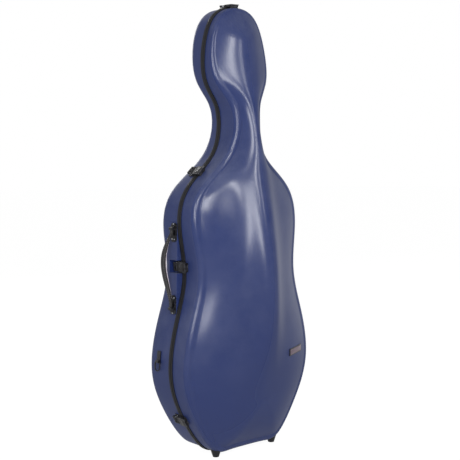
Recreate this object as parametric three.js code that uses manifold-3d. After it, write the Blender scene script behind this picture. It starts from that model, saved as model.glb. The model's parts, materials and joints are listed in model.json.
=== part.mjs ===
// Cello hard case, standing upright on its four feet, lid closed and latched.
// Millimetres, +Z up. The lid faces -Y and the back shell +Y, and the seam lies in the plane Y = 0.
// The latches and the handle are on the -X side and the hinges on the +X side.
import * as THREE from "three";
import { mergeVertices } from "three/addons/utils/BufferGeometryUtils.js";
import Module from "manifold-3d";

const wasm = await Module();
wasm.setup();

// Overall sizes
const CASE_HEIGHT = 1340; // shell alone, without its feet
const HALF_WIDTH = 248; // at the lower bout
const LID_DEPTH = 188; // seam to the top of the ridge
const BACK_DEPTH = 135; // seam to the middle of the back
const FOOT_HEIGHT = 12; // floor to the bottom of the shell
const GAP = 0.3; // clearance between pieces that touch
const OVERRUN = 40; // how far a cutting body reaches past what it cuts

// Shells
const SHELL_WALL = 3;
const RIM_SETBACK = 4; // seam plane to the edge of each shell
const LID_FILLET = 18;
const BACK_FILLET = 38;
const LID_FILLET_SHARE = 0.3; // largest fillet, as a share of the wall's depth
const BACK_FILLET_SHARE = 0.45;
const RIDGE_HALF_WIDTH = 54;
const SPINE_LOW = 0.127 * CASE_HEIGHT; // ends of the middle line that all ribs of the surface run to
const SPINE_HIGH = 0.918 * CASE_HEIGHT;
const SPINE_SOFTNESS = 25;
const SPINE_STEP = 2;
const OUTLINE_STEPS = 60; // facets round the outline
const FACET_LENGTH = 45; // the facets share out length and turn in this proportion
const FACET_TURN = THREE.MathUtils.degToRad(12);

// Guide points of the outline: half width and height, as shares, bottom to top
const OUTLINE_SHARES = [
  [0, 0], [0.3, 0], [0.527, -0.006], [0.845, 0.081], [1.071, 0.179], [0.935, 0.302], [0.715, 0.405],
  [0.869, 0.508], [0.82, 0.596], [0.344, 0.657], [0.197, 0.711], [0.201, 0.792], [0.507, 0.836],
  [0.387, 0.982], [0, 1.006],
];
// Depths at equal steps up the case, as shares of the lid's and the back's depth
const LID_WALL_SHARES = [0.32, 0.33, 0.37, 0.39, 0.39, 0.41, 0.37, 0.32, 0.33, 0.49, 0.27, 0.16, 0.16];
const LID_CREST_SHARES = [0.66, 0.68, 0.78, 0.95, 1.01, 1.01, 0.94, 0.83, 0.7, 0.6, 0.52, 0.43, 0.38];
const BACK_WALL_SHARES = [0.9, 0.93, 0.94, 0.93, 0.9, 0.87, 0.84, 0.76, 0.56, 0.32, 0.49, 0.62, 0.63];
const BACK_CREST_SHARES = [0.96, 0.99, 1, 0.99, 0.96, 0.93, 0.9, 0.82, 0.62, 0.39, 0.55, 0.67, 0.68];
// How much of the face's rise is in the narrow ridge
const LID_RIDGE_SHARES = [0, 0, 0.06, 0.24, 0.36, 0.4, 0.4, 0.42, 0.42, 0.42, 0.34, 0.2, 0.12];
const BACK_RIDGE_SHARES = [0, 0];
const LID_FACE_POWER = 2; // rounded, and the back flatter
const BACK_FACE_POWER = 4;
const OUTER_FACE_SHARES = [0.84, 0.64, 0.46, 0.31, 0.17, 0];
const INNER_FACE_SHARES = [0.64, 0.46, 0.31, 0];

// Seam band on the back shell and lip on the lid: distance outwards and from the seam plane
const SEAM_GAP = 0.15;
const BAND = { proud: 4.4, height: 9.6, bevel: 2.4, frontBevel: 0.8, backBevel: 1.2 };
const BAND_GAP = 0.6; // from the band to the hardware beside it
const LIP = { proud: 3, height: 6 };

// Lining and foam
const LINING = 4;
const LINING_GAP = 0.7;
const FOAM_GAP = 0.4;
const CRADLE = { top: 0.157 * CASE_HEIGHT, thickness: 34, front: 12, back: 0.68 * BACK_DEPTH };
const END_PIN_WELL = { radius: 15, back: 0.355 * BACK_DEPTH };
const WAIST_PAD = {
  bottom: 0.377 * CASE_HEIGHT, top: 0.478 * CASE_HEIGHT, thickness: 30, front: 12, back: 0.593 * BACK_DEPTH,
};
const SHOULDER_PAD = {
  bottom: 0.578 * CASE_HEIGHT, top: 0.634 * CASE_HEIGHT, thickness: 32, front: 12, back: 0.519 * BACK_DEPTH,
};
const NECK_CRADLE = {
  bottom: 0.713 * CASE_HEIGHT, top: 0.757 * CASE_HEIGHT, front: 3, notch: 24, notchBack: 8,
};
const NECK_STRAP = {
  bottom: 0.7255 * CASE_HEIGHT, width: 26, root: 34, tab: 4, arch: 21, thickness: 2.4, steps: 12,
};
const SCROLL_PAD = {
  bottom: 0.858 * CASE_HEIGHT, top: 0.963 * CASE_HEIGHT, front: 0.341 * BACK_DEPTH, margin: 34,
};

// Feet: the two under the lid stand wide and the two under the back shell close together
const FOOT = {
  lidSide: 0.456 * HALF_WIDTH, backSide: 0.21 * HALF_WIDTH, radius: 13.5, toe: 9.5,
  lidBack: -0.202 * LID_DEPTH, shellBack: 0.548 * BACK_DEPTH,
};

// Latches: y across the seam, n outwards from the wall
const LATCH_HEIGHTS = {
  bottom: 0.0836 * CASE_HEIGHT, waist: 0.43 * CASE_HEIGHT, shoulder: 0.636 * CASE_HEIGHT,
};
const LATCH_WIDTH = 32;
const LATCH = {
  baseFront: BAND.height + BAND_GAP, baseBack: 36, plate: 2.6,
  earFront: 14.6, earBack: 22.2, earTop: 9.6, earThickness: 2.7,
  pivot: [18.5, 6.5], clawPivot: [26, 9], pinRadius: 1.2, pinClearance: 0.3,
  cheekOut: 12.9, cheekIn: 9.8, cheekNose: 3.6, cheekBottom: 4.3,
  leverBack: 36.5, leverTop: 11.6, leverPlate: 2.6, tailPull: 3,
  clawHalfTail: 9.3, clawEye: 2.8, clawTop: 11.6, clawPlate: 2.6, clawTailTop: 10, clawTailPlate: 2.2,
  clawRear: 13, clawSkirtBottom: 4.9, clawSkirt: 2.4, clawTip: -17.4, hookThickness: 2.7, hookBottom: 3.2,
};
const EAR_TURN_SHARES = [1 / 12, 5 / 12]; // start and end of the round top, as shares of a full turn
const EAR_STEPS = 4;
const NOSE_TURN_SHARES = [1 / 4, 23 / 36]; // and of the lever's round nose
const NOSE_STEPS = 5;
const KEEPER = {
  front: -7.6, back: -16.4, halfWidth: 13, plate: 2.6,
  ridgeFront: -11.2, ridgeBack: -14.2, ridgeTop: 7.2,
};

// Hinges: the axis leans, so that it clears both bouts
const HINGE_HEIGHT_SHARES = [0.2, 0.2552, 0.5485];
const HINGE_LINE = {
  lowHeight: 0.2127 * CASE_HEIGHT, highHeight: 0.5485 * CASE_HEIGHT, standOff: 9.5,
};
const HINGE = {
  length: 60, midLength: 22, runGap: 0.5, knuckle: 4, pin: 1.8, bore: 2.1,
  plateStart: 14.6, lidPlateStart: 7.6, plateEnd: 38, plate: 2.6, armUnder: 4.9, depth: 14, armSlope: 3,
};

// Handle
const LAND = {
  lowHeight: 0.3239 * CASE_HEIGHT, highHeight: 0.5284 * CASE_HEIGHT, lift: 2.5,
  front: BAND.height + BAND_GAP, pocketHalf: 19, pocketBack: 46, bridge: 6,
};
const ANCHOR = {
  inset: 29, length: 56, halfWidth: 11, corner: 9, plate: 6, centre: 22, axis: 12,
  lugBack: 22, lugFront: 7.6, lugHalfWidth: 7.5, lugTop: 17.6, slope: 8, pin: 1.9, pinLength: 12,
  rivetRadius: 2.6, rivetHeight: 0.8, rivetSide: 5.6, rivetPlace: 20,
};
const STRAP = {
  halfWidth: 9, endHalfWidth: 4.6, thickness: 4.6, bevel: 1.2, rise: 30.5, steps: 14,
  widenShare: 0.3, leanShare: 1.36, barrel: 5, barrelEnd: 9, bore: 2.2, boreClearance: 0.6,
};
const PAD = { startShare: 0.09, thickness: 6.4, ends: 1.2, halfWidth: 8.2, bevel: 0.4 };

// Strap rings
const LOWER_RING = { height: 0.2246 * CASE_HEIGHT, back: 0.46 * BACK_DEPTH };
const UPPER_RING = { height: 0.648 * CASE_HEIGHT, faceShare: 0.5 };
const BRACKET = {
  halfLength: 19, halfWidth: 8, corner: 3, plate: 2.6, depth: 8, barrel: 4.8, bore: 2.7, axis: 5.4,
  halfBarrel: 6.5, barrelPlace: -13, rivets: [0, 12], rivetRadius: 2.6, rivetHeight: 1.1,
};
const RING = { wire: 2.2, halfWidth: 11.8, drop: 28.5, corner: 4, cornerSteps: 2, roundSteps: 6, sides: 6 };

// Bow holders in the lid
const BOW_REST = {
  bottom: 0.236 * CASE_HEIGHT, top: 0.263 * CASE_HEIGHT, inner: 0.29 * HALF_WIDTH, outer: 0.492 * HALF_WIDTH,
  front: 0.468 * LID_DEPTH, slotHalf: 7, slotDepth: 14,
};
const BOW_CLIP = {
  height: 0.651 * CASE_HEIGHT, side: 0.145 * HALF_WIDTH, front: 0.436 * LID_DEPTH, post: 9, stem: 3,
  button: 17, buttonHalf: 5.5, buttonThickness: 4,
};

const CURVE_SIDES = 12;
const SMALL_SIDES = 8;
const CORNER_STEPS = 3; // facets in the round corner of a plate
const FULL_TURN = 2 * Math.PI;
const RIGHT_ANGLE = Math.PI / 2;
const ACROSS = new THREE.Vector3(0, 1, 0); // the seam
const UP = new THREE.Vector3(0, 0, 1);

// Weights of the four guide values round a place on a uniform cubic B-spline, f from 0 to 1 between two
function splineWeights(f) {
  const g = 1 - f;
  return [g ** 3 / 6, (3 * f ** 3 - 6 * f ** 2 + 4) / 6, (3 * g ** 3 - 6 * g ** 2 + 4) / 6, f ** 3 / 6];
}

// Point on the closed outline through its mirrored guide points
function guidePoint(u) {
  const last = OUTLINE_SHARES.length - 1;
  const count = last * 2;
  const guide = (k) => {
    const i = ((k % count) + count) % count;
    const [x, z] = OUTLINE_SHARES[i <= last ? i : count - i];
    return i <= last ? [x, z] : [-x, z];
  };
  const i = Math.floor(u);
  const point = [0, 0];
  splineWeights(u - i).forEach((weight, k) => {
    point[0] += weight * guide(i - 1 + k)[0];
    point[1] += weight * guide(i - 1 + k)[1];
  });
  return point;
}

// Value of a table of shares at a height, smoothed in the same way
function tableValue(shares, height) {
  const last = shares.length - 1;
  const u = THREE.MathUtils.clamp(height / CASE_HEIGHT, 0, 1) * last;
  const i = Math.min(Math.floor(u), last - 1);
  const share = (k) => shares[THREE.MathUtils.clamp(k, 0, last)];
  return splineWeights(u - i).reduce((sum, weight, k) => sum + weight * share(i - 1 + k), 0);
}

// The outline as a fine line of points with their outward normals, scaled to the case's width and height
const FINE_STEPS = 60;
const fineOutline = (() => {
  const halfTurn = OUTLINE_SHARES.length - 1;
  const raw = [];
  for (let k = 0; k <= halfTurn * FINE_STEPS; k += 1) {
    raw.push(guidePoint(k / FINE_STEPS));
  }
  const widest = Math.max(...raw.map((p) => p[0]));
  const lowest = Math.min(...raw.map((p) => p[1]));
  const highest = Math.max(...raw.map((p) => p[1]));
  const points = raw.map(([x, z]) => ({
    x: (x / widest) * HALF_WIDTH,
    h: ((z - lowest) / (highest - lowest)) * CASE_HEIGHT,
  }));
  points.forEach((p, k) => {
    const before = points[k - 1] ?? { x: -points[1].x, h: points[1].h };
    const after = points[k + 1] ?? { x: -points[k - 1].x, h: points[k - 1].h };
    const length = Math.hypot(after.x - before.x, after.h - before.h);
    p.nx = (after.h - before.h) / length;
    p.nh = -(after.x - before.x) / length;
  });
  return points;
})();

// Facet corners, even in length and turn together, right half then its mirror image
const outline = (() => {
  const measure = [0];
  fineOutline.slice(1).forEach((p, k) => {
    const q = fineOutline[k];
    const turn = Math.acos(THREE.MathUtils.clamp(p.nx * q.nx + p.nh * q.nh, -1, 1));
    measure.push(measure[k] + Math.hypot(p.x - q.x, p.h - q.h) / FACET_LENGTH + turn / FACET_TURN);
  });
  const half = OUTLINE_STEPS / 2;
  const right = [];
  for (let k = 0; k <= half; k += 1) {
    const goal = (measure[measure.length - 1] * k) / half;
    const j = Math.max(1, measure.findIndex((m) => m >= goal - Number.EPSILON * half));
    const f = (goal - measure[j - 1]) / (measure[j] - measure[j - 1]);
    const [a, b] = [fineOutline[j - 1], fineOutline[j]];
    const mix = (key) => THREE.MathUtils.lerp(a[key], b[key], f);
    const length = Math.hypot(mix("nx"), mix("nh"));
    right.push({ x: mix("x"), h: mix("h"), nx: mix("nx") / length, nh: mix("nh") / length });
  }
  right[0] = { x: 0, h: right[0].h, nx: 0, nh: -1 };
  right[half] = { x: 0, h: right[half].h, nx: 0, nh: 1 };
  const left = right.slice(1, half).reverse().map((p) => ({ x: -p.x, h: p.h, nx: -p.nx, nh: p.nh }));
  return [...right, ...left];
})();

// Half width and normal on the +X side at a height, away from the round ends
const SIDE_FACING = 0.2; // least sideways part of a normal on the side
function sideAt(height) {
  const k = fineOutline.findIndex((p, i) => i > 0 && p.h >= height && p.nx > SIDE_FACING);
  const [a, b] = [fineOutline[k - 1], fineOutline[k]];
  const f = (height - a.h) / (b.h - a.h);
  return {
    x: THREE.MathUtils.lerp(a.x, b.x, f),
    h: height,
    nx: THREE.MathUtils.lerp(a.nx, b.nx, f),
    nh: THREE.MathUtils.lerp(a.nh, b.nh, f),
  };
}

// Height at which the middle line meets the rib that starts at a height on the outline
function spineHeight(height) {
  const soft = (v) => SPINE_SOFTNESS * Math.log(1 + Math.exp(v / SPINE_SOFTNESS));
  const low = SPINE_LOW + soft(height - SPINE_LOW);
  return Math.round((SPINE_HIGH - soft(SPINE_HIGH - low)) / SPINE_STEP) * SPINE_STEP;
}

const LID = {
  side: -1, depth: LID_DEPTH, wall: LID_WALL_SHARES, crest: LID_CREST_SHARES,
  fillet: LID_FILLET, filletShare: LID_FILLET_SHARE, ridge: LID_RIDGE_SHARES, power: LID_FACE_POWER,
};
const BACK = {
  side: 1, depth: BACK_DEPTH, wall: BACK_WALL_SHARES, crest: BACK_CREST_SHARES,
  fillet: BACK_FILLET, filletShare: BACK_FILLET_SHARE, ridge: BACK_RIDGE_SHARES, power: BACK_FACE_POWER,
};

// Rise of the face from its edge, 0 at q = 1, to the middle line, 1 at q = 0
function faceRise(shell, q, reach, spine) {
  const bell = (distance) => Math.exp(-((distance / RIDGE_HALF_WIDTH) ** 2));
  const ridge = (bell(q * reach) - bell(reach)) / (1 - bell(reach));
  return THREE.MathUtils.lerp(1 - q ** shell.power, ridge, tableValue(shell.ridge, spine));
}

// Point of a shell's surface on the rib of outline point p, off inside the outer surface.
// place is { depth } on the wall, { turn } on the fillet or { q } on the face.
function surfacePoint(shell, off, place, p) {
  const fullEdge = shell.depth * tableValue(shell.wall, p.h);
  const edge = fullEdge - off;
  const radius = Math.max(Math.min(shell.fillet, shell.filletShare * fullEdge) - off, SHELL_WALL / 2);
  let inset = off;
  let depth = place.depth ?? edge - radius;
  if (place.turn !== undefined) {
    inset += radius * (1 - Math.cos(place.turn));
    depth = edge - radius + radius * Math.sin(place.turn);
  }
  if (place.q !== undefined) {
    inset += radius;
  }
  let x = p.x - p.nx * inset;
  let h = p.h - p.nh * inset;
  if (place.q !== undefined) {
    const spine = spineHeight(p.h);
    const crest = shell.depth * tableValue(shell.crest, spine) - off;
    const reach = Math.hypot(x, h - spine);
    depth = edge + (crest - edge) * faceRise(shell, place.q, reach, spine);
    x *= place.q;
    h = THREE.MathUtils.lerp(spine, h, place.q);
  }
  return [x, shell.side * depth, h + FOOT_HEIGHT];
}

function surfaceRing(shell, off, place) {
  return outline.map((p) => surfacePoint(shell, off, place, p));
}

// Ring in the plane at a depth, moved outwards from the outline
function bandRing(outwards, y) {
  return outline.map((p) => [p.x + p.nx * outwards, y, p.h + p.nh * outwards + FOOT_HEIGHT]);
}

function middleRing(y) {
  return outline.map((p) => [0, y, p.h + FOOT_HEIGHT]);
}

// Closed mesh from a chain of rings: one that ends on the middle line closes like a zip, a loop joins its
// ends. Round a shell, each facet folds from its lower corner near the seam to its upper corner away from
// it, so that skins that lie together fold alike and the two sides mirror each other.
function ringMesh(rings, loop) {
  const positions = rings.flat(2);
  const reach = (i, j) => Math.abs(positions[i * 3 + 1] + positions[j * 3 + 1]);
  const count = rings[0].length;
  const indices = [];
  const pairs = loop ? rings.length : rings.length - 1;
  for (let r = 0; r < pairs; r += 1) {
    const next = (r + 1) % rings.length;
    for (let k = 0; k < count; k += 1) {
      const j = (k + 1) % count;
      const [a, b, c, d] = [r * count + k, r * count + j, next * count + j, next * count + k];
      if ((k < count / 2) === (reach(c, d) > reach(a, b))) {
        indices.push(a, b, c, a, c, d);
      } else {
        indices.push(a, b, d, b, c, d);
      }
    }
  }
  return tidyMesh(positions, indices);
}

// Merges shared corners, drops flat triangles and turns the faces outwards
function tidyMesh(positions, indices) {
  let geometry = new THREE.BufferGeometry();
  geometry.setAttribute("position", new THREE.Float32BufferAttribute(positions, 3));
  geometry.setIndex(indices);
  geometry = mergeVertices(geometry);
  const index = geometry.index.array;
  const kept = [];
  for (let k = 0; k < index.length; k += 3) {
    const [a, b, c] = [index[k], index[k + 1], index[k + 2]];
    if (a !== b && b !== c && c !== a) {
      kept.push(a, b, c);
    }
  }
  const place = geometry.attributes.position;
  const at = (i) => new THREE.Vector3().fromBufferAttribute(place, i);
  let volume = 0;
  for (let k = 0; k < kept.length; k += 3) {
    volume += at(kept[k]).dot(at(kept[k + 1]).cross(at(kept[k + 2])));
  }
  if (volume < 0) {
    kept.reverse();
  }
  geometry.setIndex(kept);
  return geometry;
}

function toSolid(geometry) {
  const plain = geometry.clone();
  plain.deleteAttribute("normal");
  plain.deleteAttribute("uv");
  const merged = mergeVertices(plain);
  return new wasm.Manifold(new wasm.Mesh({
    numProp: 3,
    vertProperties: new Float32Array(merged.attributes.position.array),
    triVerts: new Uint32Array(merged.index.array),
  }));
}

function toGeometry(solid) {
  const { vertProperties, triVerts } = solid.getMesh();
  const geometry = new THREE.BufferGeometry();
  geometry.setAttribute("position", new THREE.BufferAttribute(new Float32Array(vertProperties), 3));
  geometry.setIndex([...triVerts]);
  return geometry;
}

function join(...solids) {
  return solids.reduce((sum, solid) => sum.add(solid));
}

// Box between two corners
function block([x0, y0, z0], [x1, y1, z1]) {
  const geometry = new THREE.BoxGeometry(x1 - x0, y1 - y0, z1 - z0);
  geometry.translate((x0 + x1) / 2, (y0 + y1) / 2, (z0 + z1) / 2);
  return toSolid(geometry);
}

// Round bar between two points; a second radius makes it a cone
function bar(from, to, radius, sides = SMALL_SIDES, endRadius = radius) {
  const [a, b] = [new THREE.Vector3(...from), new THREE.Vector3(...to)];
  const length = a.distanceTo(b);
  const geometry = new THREE.CylinderGeometry(endRadius, radius, length, sides);
  const direction = b.clone().sub(a).normalize();
  geometry.applyQuaternion(new THREE.Quaternion().setFromUnitVectors(ACROSS, direction));
  geometry.translate(...a.add(b).divideScalar(2).toArray());
  return toSolid(geometry);
}

// Profile drawn in (y, n) and carried along t from one place to another; local axes are t, y, n
const PROFILE_AXES = new THREE.Matrix4().set(0, 0, 1, 0, 1, 0, 0, 0, 0, 1, 0, 0, 0, 0, 0, 1);
function profile(points, from, to) {
  const shape = new THREE.Shape(points.map(([y, n]) => new THREE.Vector2(y, n)));
  const geometry = new THREE.ExtrudeGeometry(shape, { depth: to - from, bevelEnabled: false });
  geometry.translate(0, 0, from);
  geometry.applyMatrix4(PROFILE_AXES);
  return toSolid(geometry);
}

// Arc of profile points about a centre, between two places given as shares of a full turn
function arc([y, n], radius, [from, to], steps) {
  const points = [];
  for (let k = 0; k <= steps; k += 1) {
    const angle = FULL_TURN * THREE.MathUtils.lerp(from, to, k / steps);
    points.push([y + radius * Math.cos(angle), n + radius * Math.sin(angle)]);
  }
  return points;
}

function moved(solid, frame) {
  const geometry = toGeometry(solid);
  geometry.applyMatrix4(frame);
  return toSolid(geometry);
}

// Frame with its axes t, y, n from an origin, an outward direction n and the across direction y
function localFrame(origin, y, n) {
  const t = new THREE.Vector3().crossVectors(y, n).normalize();
  const across = new THREE.Vector3().crossVectors(n, t).normalize();
  return new THREE.Matrix4().makeBasis(t, across, n.clone().normalize()).setPosition(origin);
}

// How far the wall's facets rise above a frame on it, within half a length either side
function wallRise(frame, half) {
  const inverse = frame.clone().invert();
  const corners = bandRing(0, 0).map((p) => new THREE.Vector3(...p).applyMatrix4(inverse));
  const levels = corners.flatMap((a, k) => {
    const b = corners[(k + 1) % corners.length];
    const [from, to] = [-half, half].map((t) => THREE.MathUtils.clamp((t - a.x) / (b.x - a.x), 0, 1));
    if (from === to || a.z < -HALF_WIDTH / 2) {
      return [];
    }
    return [from, to].map((f) => THREE.MathUtils.lerp(a.z, b.z, f));
  });
  return Math.max(...levels);
}

// Frame on the wall at a height, -X or +X, in the seam plane, lifted onto the facets for a piece this long
function wallFrame(height, halfLength, side = -1) {
  const p = sideAt(height);
  const origin = new THREE.Vector3(side * p.x, 0, height + FOOT_HEIGHT);
  const frame = localFrame(origin, ACROSS, new THREE.Vector3(side * p.nx, 0, p.nh));
  return frame.multiply(new THREE.Matrix4().makeTranslation(0, 0, wallRise(frame, halfLength)));
}

// Prism of the outline moved outwards, across the seam from one depth to another
function outlinePrism(outwards, from, to) {
  const [low, high] = [bandRing(outwards, from), bandRing(outwards, to)];
  const middle = [from, to].map((y) => outline.map((p) => [0, y, p.h + p.nh * outwards + FOOT_HEIGHT]));
  return toSolid(ringMesh([middle[0], low, high, middle[1]], false));
}

const group = new THREE.Group();

function add(name, shape, material) {
  const geometry = shape.isBufferGeometry ? shape : toGeometry(shape);
  geometry.computeVertexNormals();
  const mesh = new THREE.Mesh(geometry, material);
  mesh.name = name;
  group.add(mesh);
}

function finish(color, roughness, metalness) {
  return new THREE.MeshStandardMaterial({ color, roughness, metalness });
}

const SHELL_BLUE = finish(0x33406f, 0.38, 0.1);
const RUBBER = finish(0x2b2b2e, 0.75, 0);
const HARDWARE = finish(0x333336, 0.5, 0.2);
const STEEL = finish(0x8f9094, 0.35, 0.9);
const LINING_CLOTH = finish(0x262a38, 0.95, 0);
const FOAM_CLOTH = finish(0x30343f, 0.95, 0);
const LEATHER = finish(0x232325, 0.6, 0);
const PAD_GREY = finish(0xa89fa8, 0.7, 0);

// Shells: outer surface from the middle line to the rim, then the inner one back to the middle line
const OUTER_TURN_SHARES = [0, 1 / 3, 2 / 3];
const INNER_TURN_SHARES = [0, 1 / 2];
function surfaceRings(shell, off, turns, shares, rim) {
  return [
    surfaceRing(shell, off, { depth: rim }),
    ...turns.map((turn) => surfaceRing(shell, off, { turn: turn * RIGHT_ANGLE })),
    ...[1, ...shares].map((q) => surfaceRing(shell, off, { q })),
  ];
}
function outerRings(shell, off, rim) {
  return surfaceRings(shell, off, OUTER_TURN_SHARES, OUTER_FACE_SHARES, rim);
}
function innerRings(shell, off, rim) {
  return surfaceRings(shell, off, INNER_TURN_SHARES, INNER_FACE_SHARES, rim);
}

function addShell(name, shell) {
  const outer = outerRings(shell, 0, RIM_SETBACK);
  const inner = innerRings(shell, SHELL_WALL, RIM_SETBACK);
  add(name, ringMesh([...outer.reverse(), ...inner], false), SHELL_BLUE);
}
addShell("back_shell", BACK);
addShell("lid_shell", LID);

// Lining: a padded cloth skin inside each shell
const liningOff = SHELL_WALL + LINING_GAP;
function addLining(name, shell) {
  const outer = innerRings(shell, liningOff, RIM_SETBACK);
  const inner = innerRings(shell, liningOff + LINING, RIM_SETBACK);
  add(name, ringMesh([...outer.reverse(), ...inner], false), LINING_CLOTH);
}
addLining("back_lining", BACK);
addLining("lid_lining", LID);

// Space left inside each lining
const foamInset = liningOff + LINING + FOAM_GAP;
function insideOf(shell) {
  const rings = innerRings(shell, foamInset, 0);
  return toSolid(ringMesh([middleRing(0), ...rings], false));
}
const backInside = insideOf(BACK);
const lidInside = insideOf(LID);

// Space that a whole shell fills, with the clearance of what sits on it
function outsideOf(shell) {
  const rings = outerRings(shell, -GAP, 0);
  return toSolid(ringMesh([middleRing(0), ...rings], false));
}
const backOutside = outsideOf(BACK);
const lidOutside = outsideOf(LID);

// Seam band and lip: a section carried round the outline
function addBand(name, section, side) {
  const rings = section.map(([outwards, y]) => bandRing(outwards, side * y));
  add(name, ringMesh(rings, true), RUBBER);
}
addBand("seam_band", [
  [-SHELL_WALL, SEAM_GAP], [BAND.proud - BAND.frontBevel, SEAM_GAP], [BAND.proud, BAND.bevel],
  [BAND.proud, BAND.height - BAND.bevel], [BAND.proud - BAND.backBevel, BAND.height], [GAP, BAND.height],
  [GAP, RIM_SETBACK - GAP], [-SHELL_WALL, RIM_SETBACK - GAP],
], 1);
addBand("seam_lip", [
  [-SHELL_WALL, SEAM_GAP], [LIP.proud, SEAM_GAP], [LIP.proud, LIP.height], [GAP, LIP.height],
  [GAP, RIM_SETBACK - GAP], [-SHELL_WALL, RIM_SETBACK - GAP],
], -1);

// Bodies that trim what sits on the walls to their facets
const backWallCut = outlinePrism(GAP, -OVERRUN, BACK_DEPTH + OVERRUN);
const lidWallCut = outlinePrism(GAP, -LID_DEPTH - OVERRUN, OVERRUN);

// Feet: rubber studs, flat below and trimmed to the shell above
function addFoot(name, x, y, cut) {
  const rootRadius = 2 * FOOT.radius - FOOT.toe;
  const stud = bar([x, y, 0], [x, y, 2 * FOOT_HEIGHT], FOOT.toe, CURVE_SIDES, rootRadius);
  add(name, stud.subtract(cut), RUBBER);
}
for (const [name, side] of [["left", -1], ["right", 1]]) {
  addFoot(`lid_foot_${name}`, side * FOOT.lidSide, FOOT.lidBack, lidOutside);
  addFoot(`back_foot_${name}`, side * FOOT.backSide, FOOT.shellBack, backOutside);
}

// Latches
const halfLatch = LATCH_WIDTH / 2;
const pinHole = LATCH.pinRadius + LATCH.pinClearance;

function crossBar([y, n], radius, half, sides = SMALL_SIDES) {
  return bar([-half, y, n], [half, y, n], radius, sides);
}

function latchBase() {
  const plate = profile([
    [LATCH.baseFront, -LATCH.plate], [LATCH.baseBack, -LATCH.plate], [LATCH.baseBack, LATCH.plate],
    [LATCH.baseFront, LATCH.plate],
  ], -halfLatch, halfLatch);
  const ear = [
    [LATCH.earFront, LATCH.plate / 2], [LATCH.earBack, LATCH.plate / 2], [LATCH.earBack, LATCH.pivot[1]],
    ...arc(LATCH.pivot, LATCH.earTop - LATCH.pivot[1], EAR_TURN_SHARES, EAR_STEPS),
    [LATCH.earFront, LATCH.pivot[1]],
  ];
  const inner = halfLatch - LATCH.earThickness;
  return join(plate, profile(ear, inner, halfLatch), profile(ear, -halfLatch, -inner),
    crossBar(LATCH.pivot, LATCH.pinRadius, halfLatch - LATCH.earThickness / 2));
}

function latchLever() {
  const tailEnd = LATCH.leverBack + LATCH.tailPull;
  const underPlate = LATCH.leverTop - LATCH.leverPlate;
  const outside = [
    ...arc(LATCH.pivot, LATCH.cheekNose, NOSE_TURN_SHARES, NOSE_STEPS),
    [LATCH.clawPivot[0], LATCH.cheekBottom], [LATCH.leverBack, LATCH.cheekBottom],
    [tailEnd, underPlate], [tailEnd, LATCH.leverTop],
    [LATCH.clawPivot[0] + LATCH.clawEye, LATCH.leverTop],
  ];
  const cheek = (from, to) => profile(outside, from, to);
  const plateFront = LATCH.clawPivot[0] + LATCH.clawEye + 2 * LATCH.pinRadius;
  const plate = block([-LATCH.cheekOut, plateFront, underPlate],
    [LATCH.cheekOut, tailEnd, LATCH.leverTop]);
  return join(cheek(LATCH.cheekIn, LATCH.cheekOut), cheek(-LATCH.cheekOut, -LATCH.cheekIn), plate,
    crossBar(LATCH.clawPivot, LATCH.pinRadius, LATCH.cheekOut - LATCH.pinRadius))
    .subtract(crossBar(LATCH.pivot, pinHole, halfLatch));
}

function latchClaw() {
  const [eyeY, eyeN] = LATCH.clawPivot;
  const tail = join(
    block([-LATCH.clawHalfTail, LATCH.clawRear - LATCH.clawPlate, LATCH.clawTailTop - LATCH.clawTailPlate],
      [LATCH.clawHalfTail, eyeY, LATCH.clawTailTop]),
    crossBar([eyeY, eyeN], LATCH.clawEye, LATCH.clawHalfTail));
  const plate = block([-halfLatch, LATCH.clawTip, LATCH.clawTop - LATCH.clawPlate],
    [halfLatch, LATCH.clawRear, LATCH.clawTop]);
  const skirtFront = KEEPER.front - KEEPER.plate;
  const skirt = (from, to) => (
    block([from, skirtFront, LATCH.clawSkirtBottom], [to, LATCH.clawRear, LATCH.clawTop])
  );
  const hook = block([-KEEPER.halfWidth, LATCH.clawTip, LATCH.hookBottom],
    [KEEPER.halfWidth, LATCH.clawTip + LATCH.hookThickness, LATCH.clawTop]);
  const inner = halfLatch - LATCH.clawSkirt;
  return join(tail, plate, hook, skirt(inner, halfLatch), skirt(-halfLatch, -inner))
    .subtract(crossBar([eyeY, eyeN], pinHole, halfLatch));
}

function latchKeeper() {
  return profile([
    [KEEPER.front, -KEEPER.plate], [KEEPER.front, KEEPER.plate], [KEEPER.ridgeFront, KEEPER.plate],
    [KEEPER.ridgeFront, KEEPER.ridgeTop], [KEEPER.ridgeBack, KEEPER.ridgeTop],
    [KEEPER.ridgeBack, KEEPER.plate], [KEEPER.back, KEEPER.plate], [KEEPER.back, -KEEPER.plate],
  ], -KEEPER.halfWidth, KEEPER.halfWidth);
}

const topFrame = localFrame(new THREE.Vector3(0, 0, CASE_HEIGHT + FOOT_HEIGHT), ACROSS, UP);
const latchSeat = (height) => wallFrame(height, halfLatch);
const latchFrames = {
  top: topFrame,
  shoulder: latchSeat(LATCH_HEIGHTS.shoulder),
  waist: latchSeat(LATCH_HEIGHTS.waist),
  bottom: latchSeat(LATCH_HEIGHTS.bottom),
};
for (const [place, frame] of Object.entries(latchFrames)) {
  add(`latch_base_${place}`, moved(latchBase(), frame).subtract(backWallCut), HARDWARE);
  add(`latch_lever_${place}`, moved(latchLever(), frame), HARDWARE);
  add(`latch_claw_${place}`, moved(latchClaw(), frame), HARDWARE);
  add(`latch_keeper_${place}`, moved(latchKeeper(), frame).subtract(lidWallCut), HARDWARE);
}

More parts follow.
